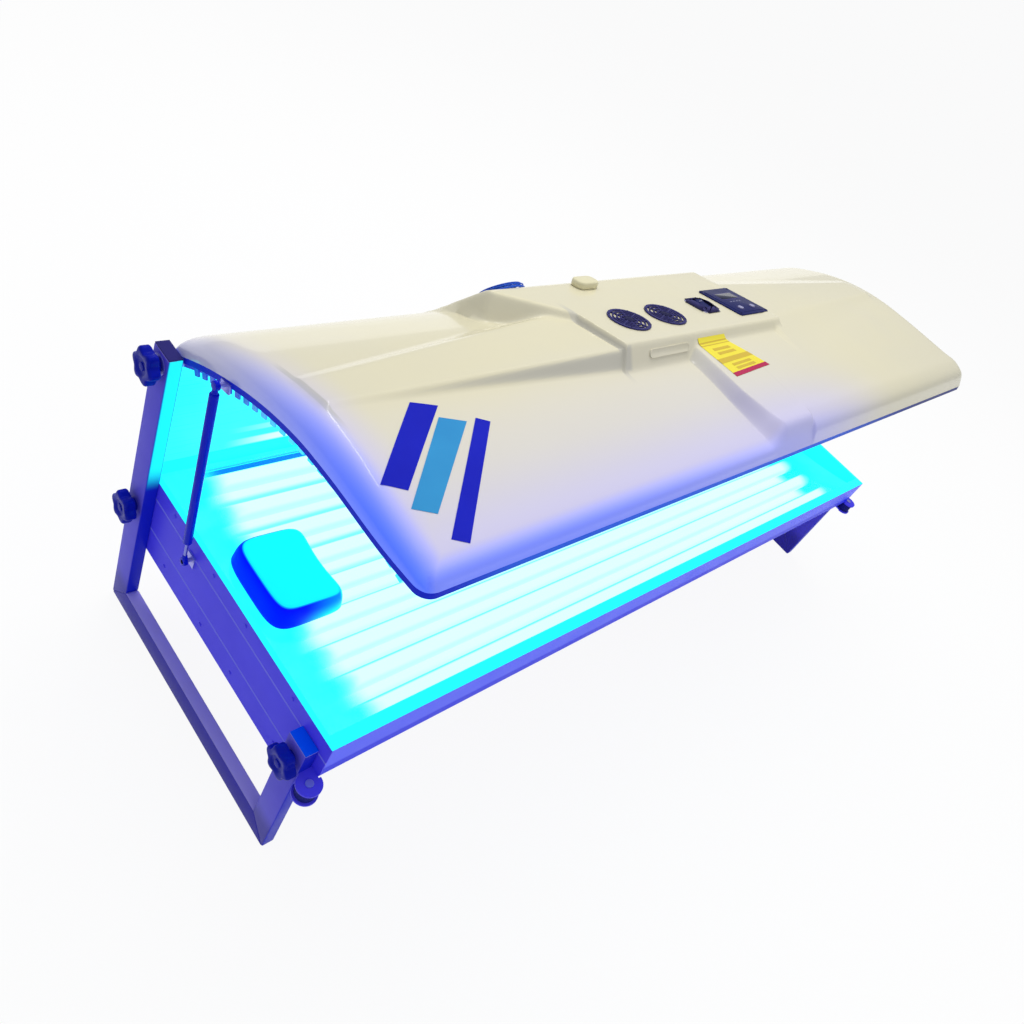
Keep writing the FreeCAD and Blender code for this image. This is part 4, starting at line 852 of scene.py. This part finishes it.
def makeShell():
    c = canopyCover
    full = c["half"] - c["endRun"]
    steps = c["endSteps"]
    spans = [full + c["endRun"] * math.sin(math.pi / 2 * (i + 1) / steps) for i in range(steps)]
    columns = [-x for x in reversed(spans)]
    for start, end, step in c["columnRuns"]:
        count = max(round((end - start) / step), 1)
        columns += [start + (end - start) * i / count for i in range(count)]
    columns += [full] + spans
    ends = profiles["archRim"]
    bars = [ends] + [shellColumn(x) for x in columns] + [ends]
    columns = [columns[0]] + columns + [columns[-1]]

    def spotAt(column, row):
        reach, height = bars[column][row]
        x, reach = roundCorner(columns[column], reach)
        return Vector((x, -reach, height)) * mm

    piece = addGrid("canopyCover", len(ends), len(columns), spotAt)
    sealFaces(piece)
    if max(piece.data.polygons, key=lambda face: face.center.z).normal.z < 0:
        piece.data.flip_normals()
    wall = piece.modifiers.new("wall", "SOLIDIFY")
    wall.thickness = c["wall"]
    wall.offset = -1
    makeActive(piece)
    bpy.ops.object.modifier_apply(modifier="wall")
    smoothShade(piece, 50)
    return ontoCanopy(paint(piece, "shellPlastic"), "canopy_plastic", "canopy_shell")


shell = makeShell()
print("shell:", len(shell.data.polygons), "faces")


# ---------- flat films on the shell ----------

def cornerMix(corners, u, v):
    # the place at u across and v along a four-cornered patch
    a, b, c, d = [Vector(corner) for corner in corners]
    return (a * (1 - u) + b * u) * (1 - v) + (d * (1 - u) + c * u) * v


def makeFilm(name, corners, across, along, proud, finish):
    # four corners in (x, reach): the film follows the shell between them
    piece = addGrid(name, across + 1, along + 1,
                    lambda row, step: shellSpot(*cornerMix(corners, step / across, row / along), proud))
    if piece.data.polygons[0].normal.z < 0:
        piece.data.flip_normals()
    piece.data.transform(canopyPlace)
    smoothShade(piece)
    return paint(piece, finish)


def makeFilms():
    # plain patch of yellow with ochre bars and a crimson foot
    patch = {"corners": [(-52, 366), (46, 366), (104, 460), (-38, 470)], "bars": [(0.03, 0.15), (0.52, 0.64)],
             "foot": (0.9, 1.0), "lines": [(0.24, 0.31), (0.36, 0.43), (0.70, 0.76), (0.80, 0.86)]}

    def cut(start, end, left=0.0, right=1.0):
        places = ((left, start), (right, start), (right, end), (left, end))
        return [cornerMix(patch["corners"], u, v) for u, v in places]

    films = [makeFilm("patch", cut(0, 1), 12, 14, 0.5, "yellowFilm")]
    for i, span in enumerate(patch["bars"]):
        films.append(makeFilm(f"patchBar{i}", cut(*span), 12, 3, 0.75, "ochreFilm"))
    for i, span in enumerate(patch["lines"]):
        films.append(makeFilm(f"patchLine{i}", cut(*span, 0.22, 0.78), 9, 2, 0.75, "ochreFilm"))
    films.append(makeFilm("patchFoot", cut(*patch["foot"]), 12, 3, 0.75, "crimsonFilm"))
    mounted(joined("sidePatch", films), "canopy", "canopy_plastic")
    # three plain slanted bars on the front panel
    bars = [("navyFilm", [(-766, 352), (-726, 370), (-874, 496), (-906, 476)]),
            ("skyFilm", [(-742, 392), (-702, 411), (-856, 540), (-888, 522)]),
            ("navyFilm", [(-682, 408), (-662, 421), (-842, 594), (-864, 580)])]
    films = [makeFilm(f"bar{i}", corners, 8, 22, 0.5, finish) for i, (finish, corners) in enumerate(bars)]
    mounted(joined("panelBars", films), "canopy", "canopy_plastic")


makeFilms()
print("films laid")


# ---------- strip along the shell's rim ----------

rimStrip = {"side": 937.0, "front": 626.0, "rear": 22.0, "cornerRadius": 23.0, "depth": 11.0, "width": 7.0,
            "sideSteps": 46, "cornerSteps": 12, "strips": [((600, 620), 929.0), ((-7, 22), 905.0)]}


def archHeight(reach):
    return between(profiles["archRim"], reach)


def makeRimStrip():
    r = rimStrip
    radius = r["cornerRadius"]
    cornerReach = r["front"] - radius
    path = []
    for side in (-1, 1):
        arm = [(side * r["side"], r["rear"] + (cornerReach - r["rear"]) * i / r["sideSteps"], side, 0.0)
               for i in range(r["sideSteps"])]
        for i in range(r["cornerSteps"] + 1):
            turn = math.pi / 2 * i / r["cornerSteps"]
            out = (side * math.cos(turn), math.sin(turn))
            arm.append((side * (r["side"] - radius) + radius * out[0], cornerReach + radius * out[1], *out))
        path += arm if side < 0 else arm[::-1]
    bars = []
    for x, reach, outX, outReach in path:
        inner = (x - outX * r["width"], reach - outReach * r["width"])
        top, low = archHeight(reach) - 0.1, archHeight(reach) - r["depth"]
        bars.append([(x, reach, top), (x, reach, low), (*inner, low), (*inner, top), (x, reach, top)])

    def spotAt(bar, corner):
        x, reach, height = bars[bar][corner]
        return Vector((x, -reach, height)) * mm

    pieces = [addGrid("rimBand", 5, len(bars), spotAt)]
    sealFaces(pieces[0], 0.00002, 4)
    for (start, end), half in r["strips"]:
        strip = addBlock("rimPlate", (-half * mm, -end * mm, -1), (half * mm, -start * mm, 1))
        for vertex in strip.data.vertices:
            height = archHeight(-vertex.co.y / mm)
            vertex.co.z = (height - (0.4 if vertex.co.z > 0 else r["depth"])) * mm
        pieces.append(strip)
    piece = joined("rimStrip", pieces)
    smoothShade(piece, 30)
    ontoCanopy(paint(piece, "trimPlastic"), "trim_plastic", "canopy_edge_trim")


makeRimStrip()
print("rim strip made")


# ---------- end frames ----------

endFrame = {"outer": 0.31425, "depth": 0.05, "innerX": -0.940, "width": 0.025, "frontOuter": -0.28975,
            "rearTop": 0.632, "frontTop": 0.320, "corner": 0.0028, "capHeight": 0.0015, "capDrop": 0.018,
            "capGap": 0.0008, "stemGap": 0.0024}


def slideCorners(piece, chosen, offset):
    # moves the vertices that the test picks
    mesh = openEdit(piece, "VERT")
    for vertex in mesh.verts:
        vertex.select_set(chosen(vertex.co))
    bmesh.update_edit_mesh(piece.data)
    bpy.ops.transform.translate(value=offset)
    closeEdit()


def makeFrames():
    e = endFrame
    x0, x1 = e["innerX"] - e["width"], e["innerX"]
    rearSpan = (e["outer"] - e["depth"], e["outer"])
    frontSpan = (e["frontOuter"], e["frontOuter"] + e["depth"])
    # posts and floor rails meet in mitres, whose bevelled edges read as dressed welds
    rear = addBlock("rearPost", (x0, rearSpan[0], 0), (x1, rearSpan[1], e["rearTop"]))
    slideCorners(rear, lambda co: co.z < 0.01 and co.y < e["outer"] - 0.01, (0, 0, e["depth"]))
    front = addBlock("frontPost", (x0, frontSpan[0], 0), (x1, frontSpan[1], e["frontTop"]))
    slideCorners(front, lambda co: co.z < 0.01 and co.y > e["frontOuter"] + 0.01, (0, 0, e["depth"]))
    floor = addBlock("floorRail", (x0, e["frontOuter"], 0), (x1, e["outer"], e["depth"]))
    slideCorners(floor, lambda co: co.z > 0.04 and co.y > 0, (0, -e["depth"], 0))
    slideCorners(floor, lambda co: co.z > 0.04 and co.y < 0, (0, e["depth"], 0))
    for piece, stand in ((rear, "rear_post"), (front, "front_post"), (floor, "floor_rail")):
        softenEdges(piece, e["corner"], 3)
        mountPair(paint(piece, "framePaint"), "frame_paint", stand, "base")
    caps = []
    # front cap in a bright blue that is the lamps' painted glow on it, rear cap in dark navy as painted shade
    for (y0, y1), top, finish in ((rearSpan, e["rearTop"], "darkPlastic"),
                                  (frontSpan, e["frontTop"], "litCapPlastic")):
        cap = addBlock("cap", (x0 + e["capGap"], y0 + e["capGap"], top - 0.0004),
                       (x1 - e["capGap"], y1 - e["capGap"], top + e["capHeight"]))
        insetFaces(cap, facesUp, (0.004, -0.0006))
        caps.append(paint(softenEdges(cap, 0.0006), finish))
        stem = addBlock("stem", (x0 + e["stemGap"], y0 + e["stemGap"], top - e["capDrop"]),
                        (x1 - e["stemGap"], y1 - e["stemGap"], top))
        caps.append(paint(stem, "darkPlastic"))
    mountBoth(joined("postCaps", caps), "dark_plastic", "post_end_plugs")


def mountBoth(head, slotName, *stands):
    # head-end and foot-end pieces as one piece on the base
    foot = copied(head, head.name + "Foot", mirrorX)
    mounted(joined(head.name, [head, foot]), "base", slotName, *stands)


makeFrames()
print("end frames made")


# ---------- hand knobs ----------

handKnob = {"radius": 0.0282, "lobe": 0.0038, "lobes": 6, "head": 0.020, "neck": 0.008, "neckRadius": 0.014,
            "edge": 0.0045, "cap": 0.00744,
            "places": (("canopy_knob", -0.9668, 0.28925, 0.608), ("rear_bed_knob", -0.9653, 0.28925, 0.285),
                       ("front_bed_knob", -0.9653, -0.26475, 0.285))}


def makeKnob():
    # drawn at the origin with its inner face at x 0, reaching towards -X
    k = handKnob
    outer = -k["neck"] - k["head"]
    head = addRound("knob", k["radius"], (-k["neck"], 0, 0), (outer, 0, 0), 96)
    insetFaces(head, lambda centre, normal: normal.x < -0.9, (0.012, 0), (0.002, -0.002))
    softenEdges(head, k["edge"], 5, 50)
    for vertex in head.data.vertices:
        # the lobes grow with the distance from the axis
        across = math.hypot(vertex.co.y, vertex.co.z)
        angle = math.atan2(vertex.co.z, vertex.co.y)
        swell = 1 + k["lobe"] / k["radius"] * math.cos(k["lobes"] * angle) * (across / k["radius"]) ** 3
        vertex.co.y *= swell
        vertex.co.z *= swell
    smoothShade(head, 60)
    neck = addRound("neck", k["neckRadius"], (-k["neck"] - 0.001, 0, 0), (0, 0, 0), 40,
                    k["neckRadius"] - 0.002)
    cap = addRound("screwCap", k["cap"], (outer + 0.004, 0, 0), (outer + 0.0008, 0, 0), 32)
    return paint(joined("knob", [head, softenEdges(neck, 0.0008), softenEdges(cap, 0.0012, 3)]),
                 "knobPlastic")


def makeKnobs():
    pattern = makeKnob()
    for name, *spot in handKnob["places"]:
        place = Matrix.Translation(spot)
        for end, twin in (("head", place), ("foot", mirrorX @ place)):
            knob = copied(pattern, f"{end}_{name}_grip", twin)
            mounted(knob, f"{end}_{name}", "knob_plastic", f"{end}_{name}")
    bpy.data.objects.remove(pattern)


makeKnobs()
print("knobs made")


# ---------- gas struts ----------

gasStrut = {"low": (-0.954, 0.12725, 0.305), "lean": 0.06759563, "rod": 0.003, "rodLength": 0.178,
            "tube": 0.0075,
            "tubeStart": 0.046, "tubeEnd": 0.362, "length": 0.3761366, "eye": 0.008, "eyeHalf": 0.004}


def makeStruts():
    s = gasStrut
    up = Vector((0, math.sin(s["lean"]), math.cos(s["lean"])))
    low = Vector(s["low"])
    along = Vector((s["eyeHalf"], 0, 0))

    def bar(name, radius, start, end, sides, tip=None):
        return addRound(name, radius, low + up * start, low + up * end, sides, tip)

    def eye(name, distance):
        centre = low + up * distance
        return softenEdges(addRound(name, s["eye"], centre - along, centre + along, 40), 0.0012, 3)

    rod = paint(bar("rod", s["rod"], 0.004, s["rodLength"], 32), "strutChrome")
    ends = [eye("foot", 0), softenEdges(bar("collar", 0.0056, 0.006, 0.016, 32, 0.0038), 0.0006)]
    rodPiece = joined("strutRod", [paint(piece, "strutPaint") for piece in ends] + [rod])
    start, end = s["tubeStart"], s["tubeEnd"]
    parts = [softenEdges(bar("tube", s["tube"], start, end, 48), 0.0022, 3),
             bar("gland", 0.0058, start, start + 0.006, 40, 0.0074),
             bar("neck", 0.0052, end - 0.001, s["length"] - 0.004, 32, 0.004), eye("socket", s["length"])]
    tubePiece = joined("strutTube", [paint(piece, "strutPaint") for piece in parts])
    mountPair(rodPiece, "strut_chrome", "strut_rod")
    mountPair(tubePiece, "strut_paint", "strut_cylinder")


makeStruts()
print("struts made")


# ---------- transport wheels ----------

transportWheel = {"place": (-0.958, -0.31275, 0.255), "radius": 0.018, "half": 0.012, "edge": 0.0018,
                  "rim": (0.0055, 0), "dish": (0.0012, -0.0018)}


def makeWheels():
    w = transportWheel
    centre = Vector(w["place"])
    up = upward * w["half"]
    tyre = addRound("tyre", w["radius"], centre - up, centre + up, 56)
    for side in (1, -1):
        insetFaces(tyre, lambda middle, normal: normal.z * side > 0.9, w["rim"], w["dish"])
    mountPair(paint(softenEdges(tyre, w["edge"], 3), "wheelRubber"), "wheel_rubber", "wheel")


makeWheels()
print("wheels made")


# ---------- fans ----------

fanGuard = {"places": (-0.181, -0.061), "reach": 0.283, "low": 0.135, "radius": 0.045, "high": 0.138,
            "rim": 0.0065,
            "rings": (0.0330, 0.0245, 0.0165), "wire": 0.0017, "spokes": 8, "spokeEnd": 0.040, "hub": 0.011,
            "screws": 4, "screwReach": 0.0418, "screw": 0.002}


def rayAt(share):
    # direction at this share of a turn about Z
    turn = 2 * math.pi * share
    return Vector((math.cos(turn), math.sin(turn), 0))


def makeFanGuards():
    f = fanGuard
    parts = []
    for x in f["places"]:
        centre = Vector((x, -f["reach"], f["low"]))
        rise = upward * (f["high"] - f["low"])
        rim = addRound("rim", f["radius"], centre, centre + rise, 72)
        pickFaces(rim, lambda middle, normal: abs(normal.z) > 0.9)
        bpy.ops.mesh.inset(thickness=f["rim"])
        bpy.ops.mesh.delete(type="FACE")
        closeEdit()
        openEdit(rim, "EDGE")
        bpy.ops.mesh.select_non_manifold()
        bpy.ops.mesh.bridge_edge_loops()
        closeEdit()
        sealFaces(rim)
        middle = centre + rise * 0.5
        rings = [addRing("ring", radius, f["wire"], middle) for radius in f["rings"]]
        plain = [softenEdges(rim, 0.0009)] + rings
        for i in range(f["spokes"]):
            ray = rayAt((i + 0.5) / f["spokes"])
            plain.append(addRound("spoke", f["wire"], middle + ray * f["hub"], middle + ray * f["spokeEnd"],
                                  10))
        dark = [softenEdges(addRound("hub", f["hub"], centre + rise * 0.1, centre + rise, 40), 0.001, 3)]
        for i in range(f["screws"]):
            head = centre + rise + rayAt((i + 0.5) / f["screws"]) * f["screwReach"]
            dark.append(addRound("screw", f["screw"], head - rise * 0.3, head + rise * 0.2, 16,
                                 f["screw"] * 0.7))
        parts += [paint(part, "fanPlastic") for part in plain] + [paint(part, "fanDark") for part in dark]
    piece = joined("fanGuards", parts)
    smoothShade(piece)
    ontoCanopy(piece, "fan_plastic", "fan_grilles")


rearGuard = {"place": (-0.318, -0.0725, 0.1019), "out": (0, 0.661, 0.750), "radius": 0.0475, "flange": 0.0014,
             "rings": ((0.0468, 0.0030), (0.0458, 0.0075), (0.041, 0.0112), (0.030, 0.0122), (0.019, 0.0124)),
             "wire": 0.0015, "spoke": 0.0012, "spokes": 12, "hub": 0.0165, "hubLow": 0.0106,
             "hubHigh": 0.0138}


def makeRearGuard():
    # shallow cage of rings and bent spokes, drawn about Z and laid on the rear slope
    g = rearGuard
    parts = [addRing("ring", radius, g["wire"], upward * height, 56, 8) for radius, height in g["rings"]]
    parts.append(addRing("flange", g["radius"], g["flange"], upward * g["flange"], 64, 8))
    for i in range(g["spokes"]):
        ray = rayAt(i / g["spokes"])
        bends = [ray * radius + upward * height for radius, height in g["rings"]]
        parts += [addRound("spoke", g["spoke"], start, end, 8) for start, end in zip(bends, bends[1:])]
    parts.append(softenEdges(addRound("hub", g["hub"], upward * g["hubLow"], upward * g["hubHigh"], 40),
                             0.0009))
    piece = joined("rearFanGuard", [paint(part, "guardPlastic") for part in parts])
    smoothShade(piece)
    turn = upward.rotation_difference(Vector(g["out"])).to_matrix().to_4x4()
    piece.data.transform(Matrix.Translation(g["place"]) @ turn)
    ontoCanopy(piece, "guard_plastic", "rear_fan_guard")


makeFanGuards()
makeRearGuard()
print("fan guards made")


# ---------- controls ----------

timer = {
    "centre": (0.221, 0.269), "top": 0.139, "buttons": (-0.024, 0.024), "buttonReach": 0.034,
    "button": 0.0068,
    "screwX": 0.0525, "screwY": 0.055, "markStep": 0.012,
    # name, reach from the centre, size, low and high from the top, corner, edge, finish
    "plates": [("plate", 0, (0.117, 0.122), -0.005, -0.001, 0.007, 0.0012, "timerPlastic"),
               ("inner", 0, (0.099, 0.104), -0.002, -0.0002, 0.005, 0.0006, "timerPlastic"),
               ("window", -0.022, (0.066, 0.026), -0.001, 0, 0.003, 0.0003, "displayGlass"),
               ("bezel", -0.022, (0.072, 0.032), -0.0015, -0.0001, 0.004, 0.0003, "switchPlastic")],
}
switch = {"centre": (0.097, 0.267), "size": (0.054, 0.058), "low": 0.135, "high": 0.138,
          "well": (0.027, 0.035),
          "rim": (0.058, 0.062), "rockerHalf": (0.012, 0.016), "pinDrop": 0.0015, "hollow": 0.0018,
          "tip": math.radians(8)}


def roundedPlate(name, centre, size, low, high, corner, edge, finish):
    x, reach = centre
    half = (size[0] / 2, size[1] / 2)
    piece = addBlock(name, (x - half[0], -reach - half[1], low), (x + half[0], -reach + half[1], high))
    mesh = openEdit(piece, "EDGE")
    for line in mesh.edges:
        line.select_set(abs(line.verts[0].co.z - line.verts[1].co.z) > (high - low) * 0.5)
    bmesh.update_edit_mesh(piece.data)
    bpy.ops.mesh.bevel(offset=corner, segments=6, affect="EDGES")
    closeEdit()
    return paint(softenEdges(piece, edge, 2, 50), finish)


def makeTimer():
    t = timer
    x, reach = t["centre"]
    top = t["top"]
    parts = [roundedPlate(name, (x, reach + ahead), size, top + low, top + high, corner, edge, finish)
             for name, ahead, size, low, high, corner, edge, finish in t["plates"]]
    for offset in t["buttons"]:
        spot = (x + offset, -reach - t["buttonReach"], top - 0.0004)
        parts.append(paint(addRing("ring", t["button"] + 0.0022, 0.0009, spot, 40, 8), "switchPlastic"))
    for across, back in ((-1, -1), (-1, 1), (1, -1), (1, 1)):
        spot = Vector((x + across * t["screwX"], -reach + back * t["screwY"], top - 0.0012))
        parts.append(paint(addRound("screw", 0.0028, spot, spot + upward * 0.0011, 20, 0.002), "fanDark"))
    for i in range(4):
        spot = (x + (i - 1.5) * t["markStep"], reach + 0.004)
        parts.append(roundedPlate("mark", spot, (0.007, 0.002), top - 0.0006, top, 0.0008, 0.0001,
                                  "buttonPlastic"))
    ontoCanopy(joined("timerFace", parts), "panel_plastic", "timer_panel")
    for name, offset in zip(("timer_start_button", "timer_set_button"), t["buttons"]):
        spot = Vector((x + offset, -reach - t["buttonReach"], top - 0.004))
        button = addRound(name + "Cap", t["button"], spot, spot + upward * 0.0064, 40)
        insetFaces(button, facesUp, (0.0022, -0.0004))
        ontoCanopy(paint(softenEdges(button, 0.0008, 3), "buttonPlastic"), "button_plastic", name, body=name)


def makeSwitch():
    s = switch
    centre, low, high = s["centre"], s["low"], s["high"]
    plate = roundedPlate("plate", centre, s["size"], low - 0.0005, high, 0.005, 0.0008, "switchPlastic")
    insetFaces(plate, facesUp, (0.010, 0), (0.0015, -0.0014))
    well = roundedPlate("well", centre, s["well"], low, high - 0.0012, 0.002, 0.0004, "fanDark")
    rim = roundedPlate("rim", centre, s["rim"], low - 0.001, low + 0.0012, 0.006, 0.0006, "buttonPlastic")
    ontoCanopy(joined("switchFace", [rim, plate, well]), "panel_plastic", "switch_bezel")
    # rocker: a block whose top is hollowed across its pin and tipped to one side
    x, reach = centre
    half = s["rockerHalf"]
    axis = Vector((x, -reach, high - s["pinDrop"]))
    rocker = addBlock("rocker", axis - Vector((*half, 0.004)), axis + Vector((*half, 0.005)))
    pickFaces(rocker, lambda middle, normal: abs(normal.z) > 0.9)
    bpy.ops.mesh.subdivide(number_cuts=7)
    closeEdit()
    for vertex in rocker.data.vertices:
        if vertex.co.z > axis.z:
            vertex.co.z -= s["hollow"] * (1 - ((vertex.co.y + reach) / half[1]) ** 2)
    tip = Matrix.Translation(axis) @ Matrix.Rotation(s["tip"], 4, "X") @ Matrix.Translation(-axis)
    rocker.data.transform(tip)
    softenEdges(rocker, 0.001, 3)
    bar = roundedPlate("bar", (x, reach - 0.008), (0.010, 0.0016), axis.z + 0.0030, axis.z + 0.0056, 0.0004,
                       0.0001,
                       "buttonPlastic")
    bar.data.transform(tip)
    rocker = joined("rockerCap", [paint(rocker, "timerPlastic"), bar])
    ontoCanopy(rocker, "panel_plastic", "power_rocker", body="power_rocker")


frontBoss = {"place": (-0.149, -0.3715, 0.1122), "half": 0.056, "radius": 0.0085, "sunk": 0.003,
             "proud": 0.0026,
             "slope": math.atan2(89, 45)}


def makeSmallMouldings():
    # cable cover, and a long stadium boss on the box's front
    cover = roundedPlate("cableCover", (-0.148, 0.132), (0.060, 0.036), 0.1345, 0.150, 0.014, 0.004,
                         "creamPlastic")
    ontoCanopy(cover, "cream_plastic", "cable_cover")
    b = frontBoss
    boss = addRound("frontBoss", b["radius"], upward * -b["sunk"], upward * b["proud"], 40)
    for vertex in boss.data.vertices:
        vertex.co.x += b["half"] * (1 if vertex.co.x > 1e-6 else -1)
    insetFaces(boss, facesUp, (0.003, -0.0014))
    softenEdges(boss, 0.0009, 3)
    boss.data.transform(Matrix.Translation(b["place"]) @ Matrix.Rotation(b["slope"], 4, "X"))
    ontoCanopy(paint(boss, "shellPlastic"), "canopy_plastic")


makeTimer()
makeSwitch()
makeSmallMouldings()
print("controls made")


# ---------- headrest ----------

headRest = {
    "centre": (-0.803, 0.03225), "half": (0.078, 0.093), "top": 0.3396, "power": 5.0, "hollow": 0.013,
    "dishCentre": 1.538, "dishY": 0.01225, "dishRadius": 1.2494, "around": 160, "slope": 0.0085,
    "cup": 0.0035,
    # inset from the outline, and share of the height
    "levels": [(0.060, 0), (0.030, 0), (0.006, 0), (0.001, 0.01), (0, 0.06), (0.0008, 0.2), (0.0022, 0.45),
               (0.004, 0.66), (0.006, 0.80), (0.0082, 0.89), (0.0108, 0.95), (0.0138, 0.985), (0.018, 1)],
    # rings on the top, as shares of its outermost one
    "rings": (0.62, 0.48, 0.34, 0.2, 0.08), "outerRing": 0.77,
}


def makeHeadrest():
    # drafted block with a soft top edge, hollowed on the foot side, that sits in the acrylic
    h = headRest
    half = h["half"]
    shares = [((half[0] - inset) / half[0], (half[1] - inset) / half[1], rise) for inset, rise in h["levels"]]
    inward = [ring / h["outerRing"] for ring in h["rings"]]
    tops = [(shares[-1][0] * share, shares[-1][1] * share, 1.0) for share in inward]
    shares = [(0.0, 0.0, 0.0)] + shares + tops + [(0.0, 0.0, 1.0)]

    def spotAt(row, step):
        ray = rayAt(step / h["around"])
        u, v = [math.copysign(abs(way) ** (2 / h["power"]), way) for way in ray[:2]]
        across, along, rise = shares[row]
        x = h["centre"][0] + (half[0] * u - h["hollow"] * max(u, 0) ** 3 * (1 - v * v)) * across
        y = h["centre"][1] + half[1] * v * along
        u, v = u * across, v * along
        top = h["top"] - h["slope"] * ((u + 1) / 2) ** 2 - h["cup"] * (1 - v * v) * (1 - 0.4 * u * u)
        low = h["dishCentre"] - math.sqrt(h["dishRadius"] ** 2 - (y - h["dishY"]) ** 2)
        return x, y, low + (top - low) * rise

    piece = addGrid("headrestMoulding", h["around"] + 1, len(shares), spotAt)
    sealFaces(piece, 0.00002)
    smoothShade(piece, 60)
    mounted(paint(piece, "restPlastic"), "headrest", "headrest_plastic", "headrest")


makeHeadrest()
print("headrest made")


# ---------- small bed fittings ----------

bedFittings = {"strips": ((-0.922, 0.0022), (-0.936, 0.0016)), "stripY": (0.3106, 0.31225),
               "stripZ": (0.372, 0.572),
               "panelX": -0.94, "screwY": (-0.2, -0.05, 0.06, 0.2), "screwZ": (0.200, 0.338), "screw": 0.0042,
               "screwTip": 0.003, "screwHigh": 0.0016, "edge": 0.0004}


def makeBedFittings():
    b = bedFittings
    parts = []
    # dark sealing strips on the rear panel, just inside each post
    for x, half in b["strips"]:
        low, high = [(x + side * half, b["stripY"][side > 0], b["stripZ"][side > 0]) for side in (-1, 1)]
        parts.append(paint(softenEdges(addBlock("strip", low, high), b["edge"]), "trimPlastic"))
    # pan-head screws on the end panel
    for y in b["screwY"]:
        for z in b["screwZ"]:
            seat = Vector((b["panelX"], y, z))
            screw = addRound("screw", b["screw"], seat, seat - Vector((b["screwHigh"], 0, 0)), 24,
                             b["screwTip"])
            parts.append(paint(softenEdges(screw, b["edge"]), "panelPaint"))
    mountBoth(joined("bedFittings", parts), "zinc_steel")


makeBedFittings()
print("bed fittings made")


# ---------- floor, lights and camera ----------

def seenBy(tree, first, *others):
    # 1 for the named kinds of rays, 0 for all others
    rays = addNode(tree, "ShaderNodeLightPath").outputs
    seen = signal(rays[first])
    for kind in others:
        seen = seen.larger(signal(rays[kind]))
    return seen


def makeStudio():
    deselectAll()
    bpy.ops.mesh.primitive_plane_add(size=1600, location=(0, 0, -0.0005))
    floor = placeIntoMesh("studioFloor")
    material = newMaterial("studioFloor", **{"Base Color": (0.93, 0.93, 0.94), "Roughness": 0.9})[0]
    tree = material.node_tree
    blend = addNode(tree, "ShaderNodeMixShader")
    seen = seenBy(tree, "Is Camera Ray", "Is Glossy Ray", "Is Transmission Ray")
    feed(blend.inputs[0], seen * 0.92)
    feed(blend.inputs[1], signal(tree.nodes["Principled BSDF"].outputs[0]))
    feed(blend.inputs[2], signal(addNode(tree, "ShaderNodeEmission").outputs[0]))
    feed(tree.nodes["Material Output"].inputs["Surface"], signal(blend.outputs[0]))
    finishes["studioFloor"] = material
    paint(floor, "studioFloor")
    world = bpy.data.worlds.new("studio")
    bpy.context.scene.world = world
    world.use_nodes = True
    back = world.node_tree.nodes["Background"].inputs
    seen = seenBy(world.node_tree, "Is Camera Ray", "Is Transmission Ray")
    feed(back["Strength"], seen * 0.5 + 0.5)
    feed(back["Color"], seen.mixed((0.93, 0.95, 1.0), (1.0, 1.0, 1.0)))


lamps = [
    # name, place, target, size, power, colour, whether it shows in reflections
    ("topSoftbox", (0.5, 1.2, 3.3), (0, 0, 0.6), (3.2, 2.2), 78.0, (1.0, 0.985, 0.95), False),
    ("frontSoftbox", (-1.2, -3.2, 2.6), (0, 0, 0.5), (2.4, 1.4), 13.0, (1.0, 0.99, 0.98), False),
    ("footFill", (3.0, -1.6, 1.8), (0.3, 0, 0.5), (1.8, 1.4), 8.0, (0.97, 0.97, 1.0), False),
    ("headTube", (-0.08, 1.32, 2.58), (-0.905, -0.13, 0.77), (0.05, 1.5), 2.6, (1.0, 1.0, 1.0), True),
]


def makeLights():
    for name, place, target, size, power, colour, gloss in lamps:
        light = bpy.data.lights.new(name, "AREA")
        light.shape = "RECTANGLE"
        light.size, light.size_y = size
        light.energy = power
        light.color = colour
        holder = bpy.data.objects.new(name, light)
        bpy.context.scene.collection.objects.link(holder)
        holder.visible_glossy = gloss
        holder.location = place
        holder.rotation_euler = (Vector(target) - Vector(place)).to_track_quat("-Z", "Y").to_euler()


cameraView = {"place": (-1.55275, -0.69956, 1.52843), "lens": 30.61, "turn": (2.319, -0.6374, 0.817)}


def makeCamera():
    v = cameraView
    turn = Vector(v["turn"])
    toCamera = Matrix.Rotation(turn.length, 3, turn.normalized())
    toCamera[1].negate()
    toCamera[2].negate()
    matrix = Matrix.Translation(v["place"]) @ toCamera.transposed().to_4x4()
    data = bpy.data.cameras.new("studioCamera")
    data.lens = v["lens"]
    data.sensor_width = 36
    data.clip_end = 2000
    camera = bpy.data.objects.new("studioCamera", data)
    bpy.context.scene.collection.objects.link(camera)
    camera.matrix_world = matrix
    bpy.context.scene.camera = camera


makeStudio()
makeLights()
makeCamera()
bpy.context.scene.view_settings.view_transform = "Standard"
deselectAll()
print("studio made")
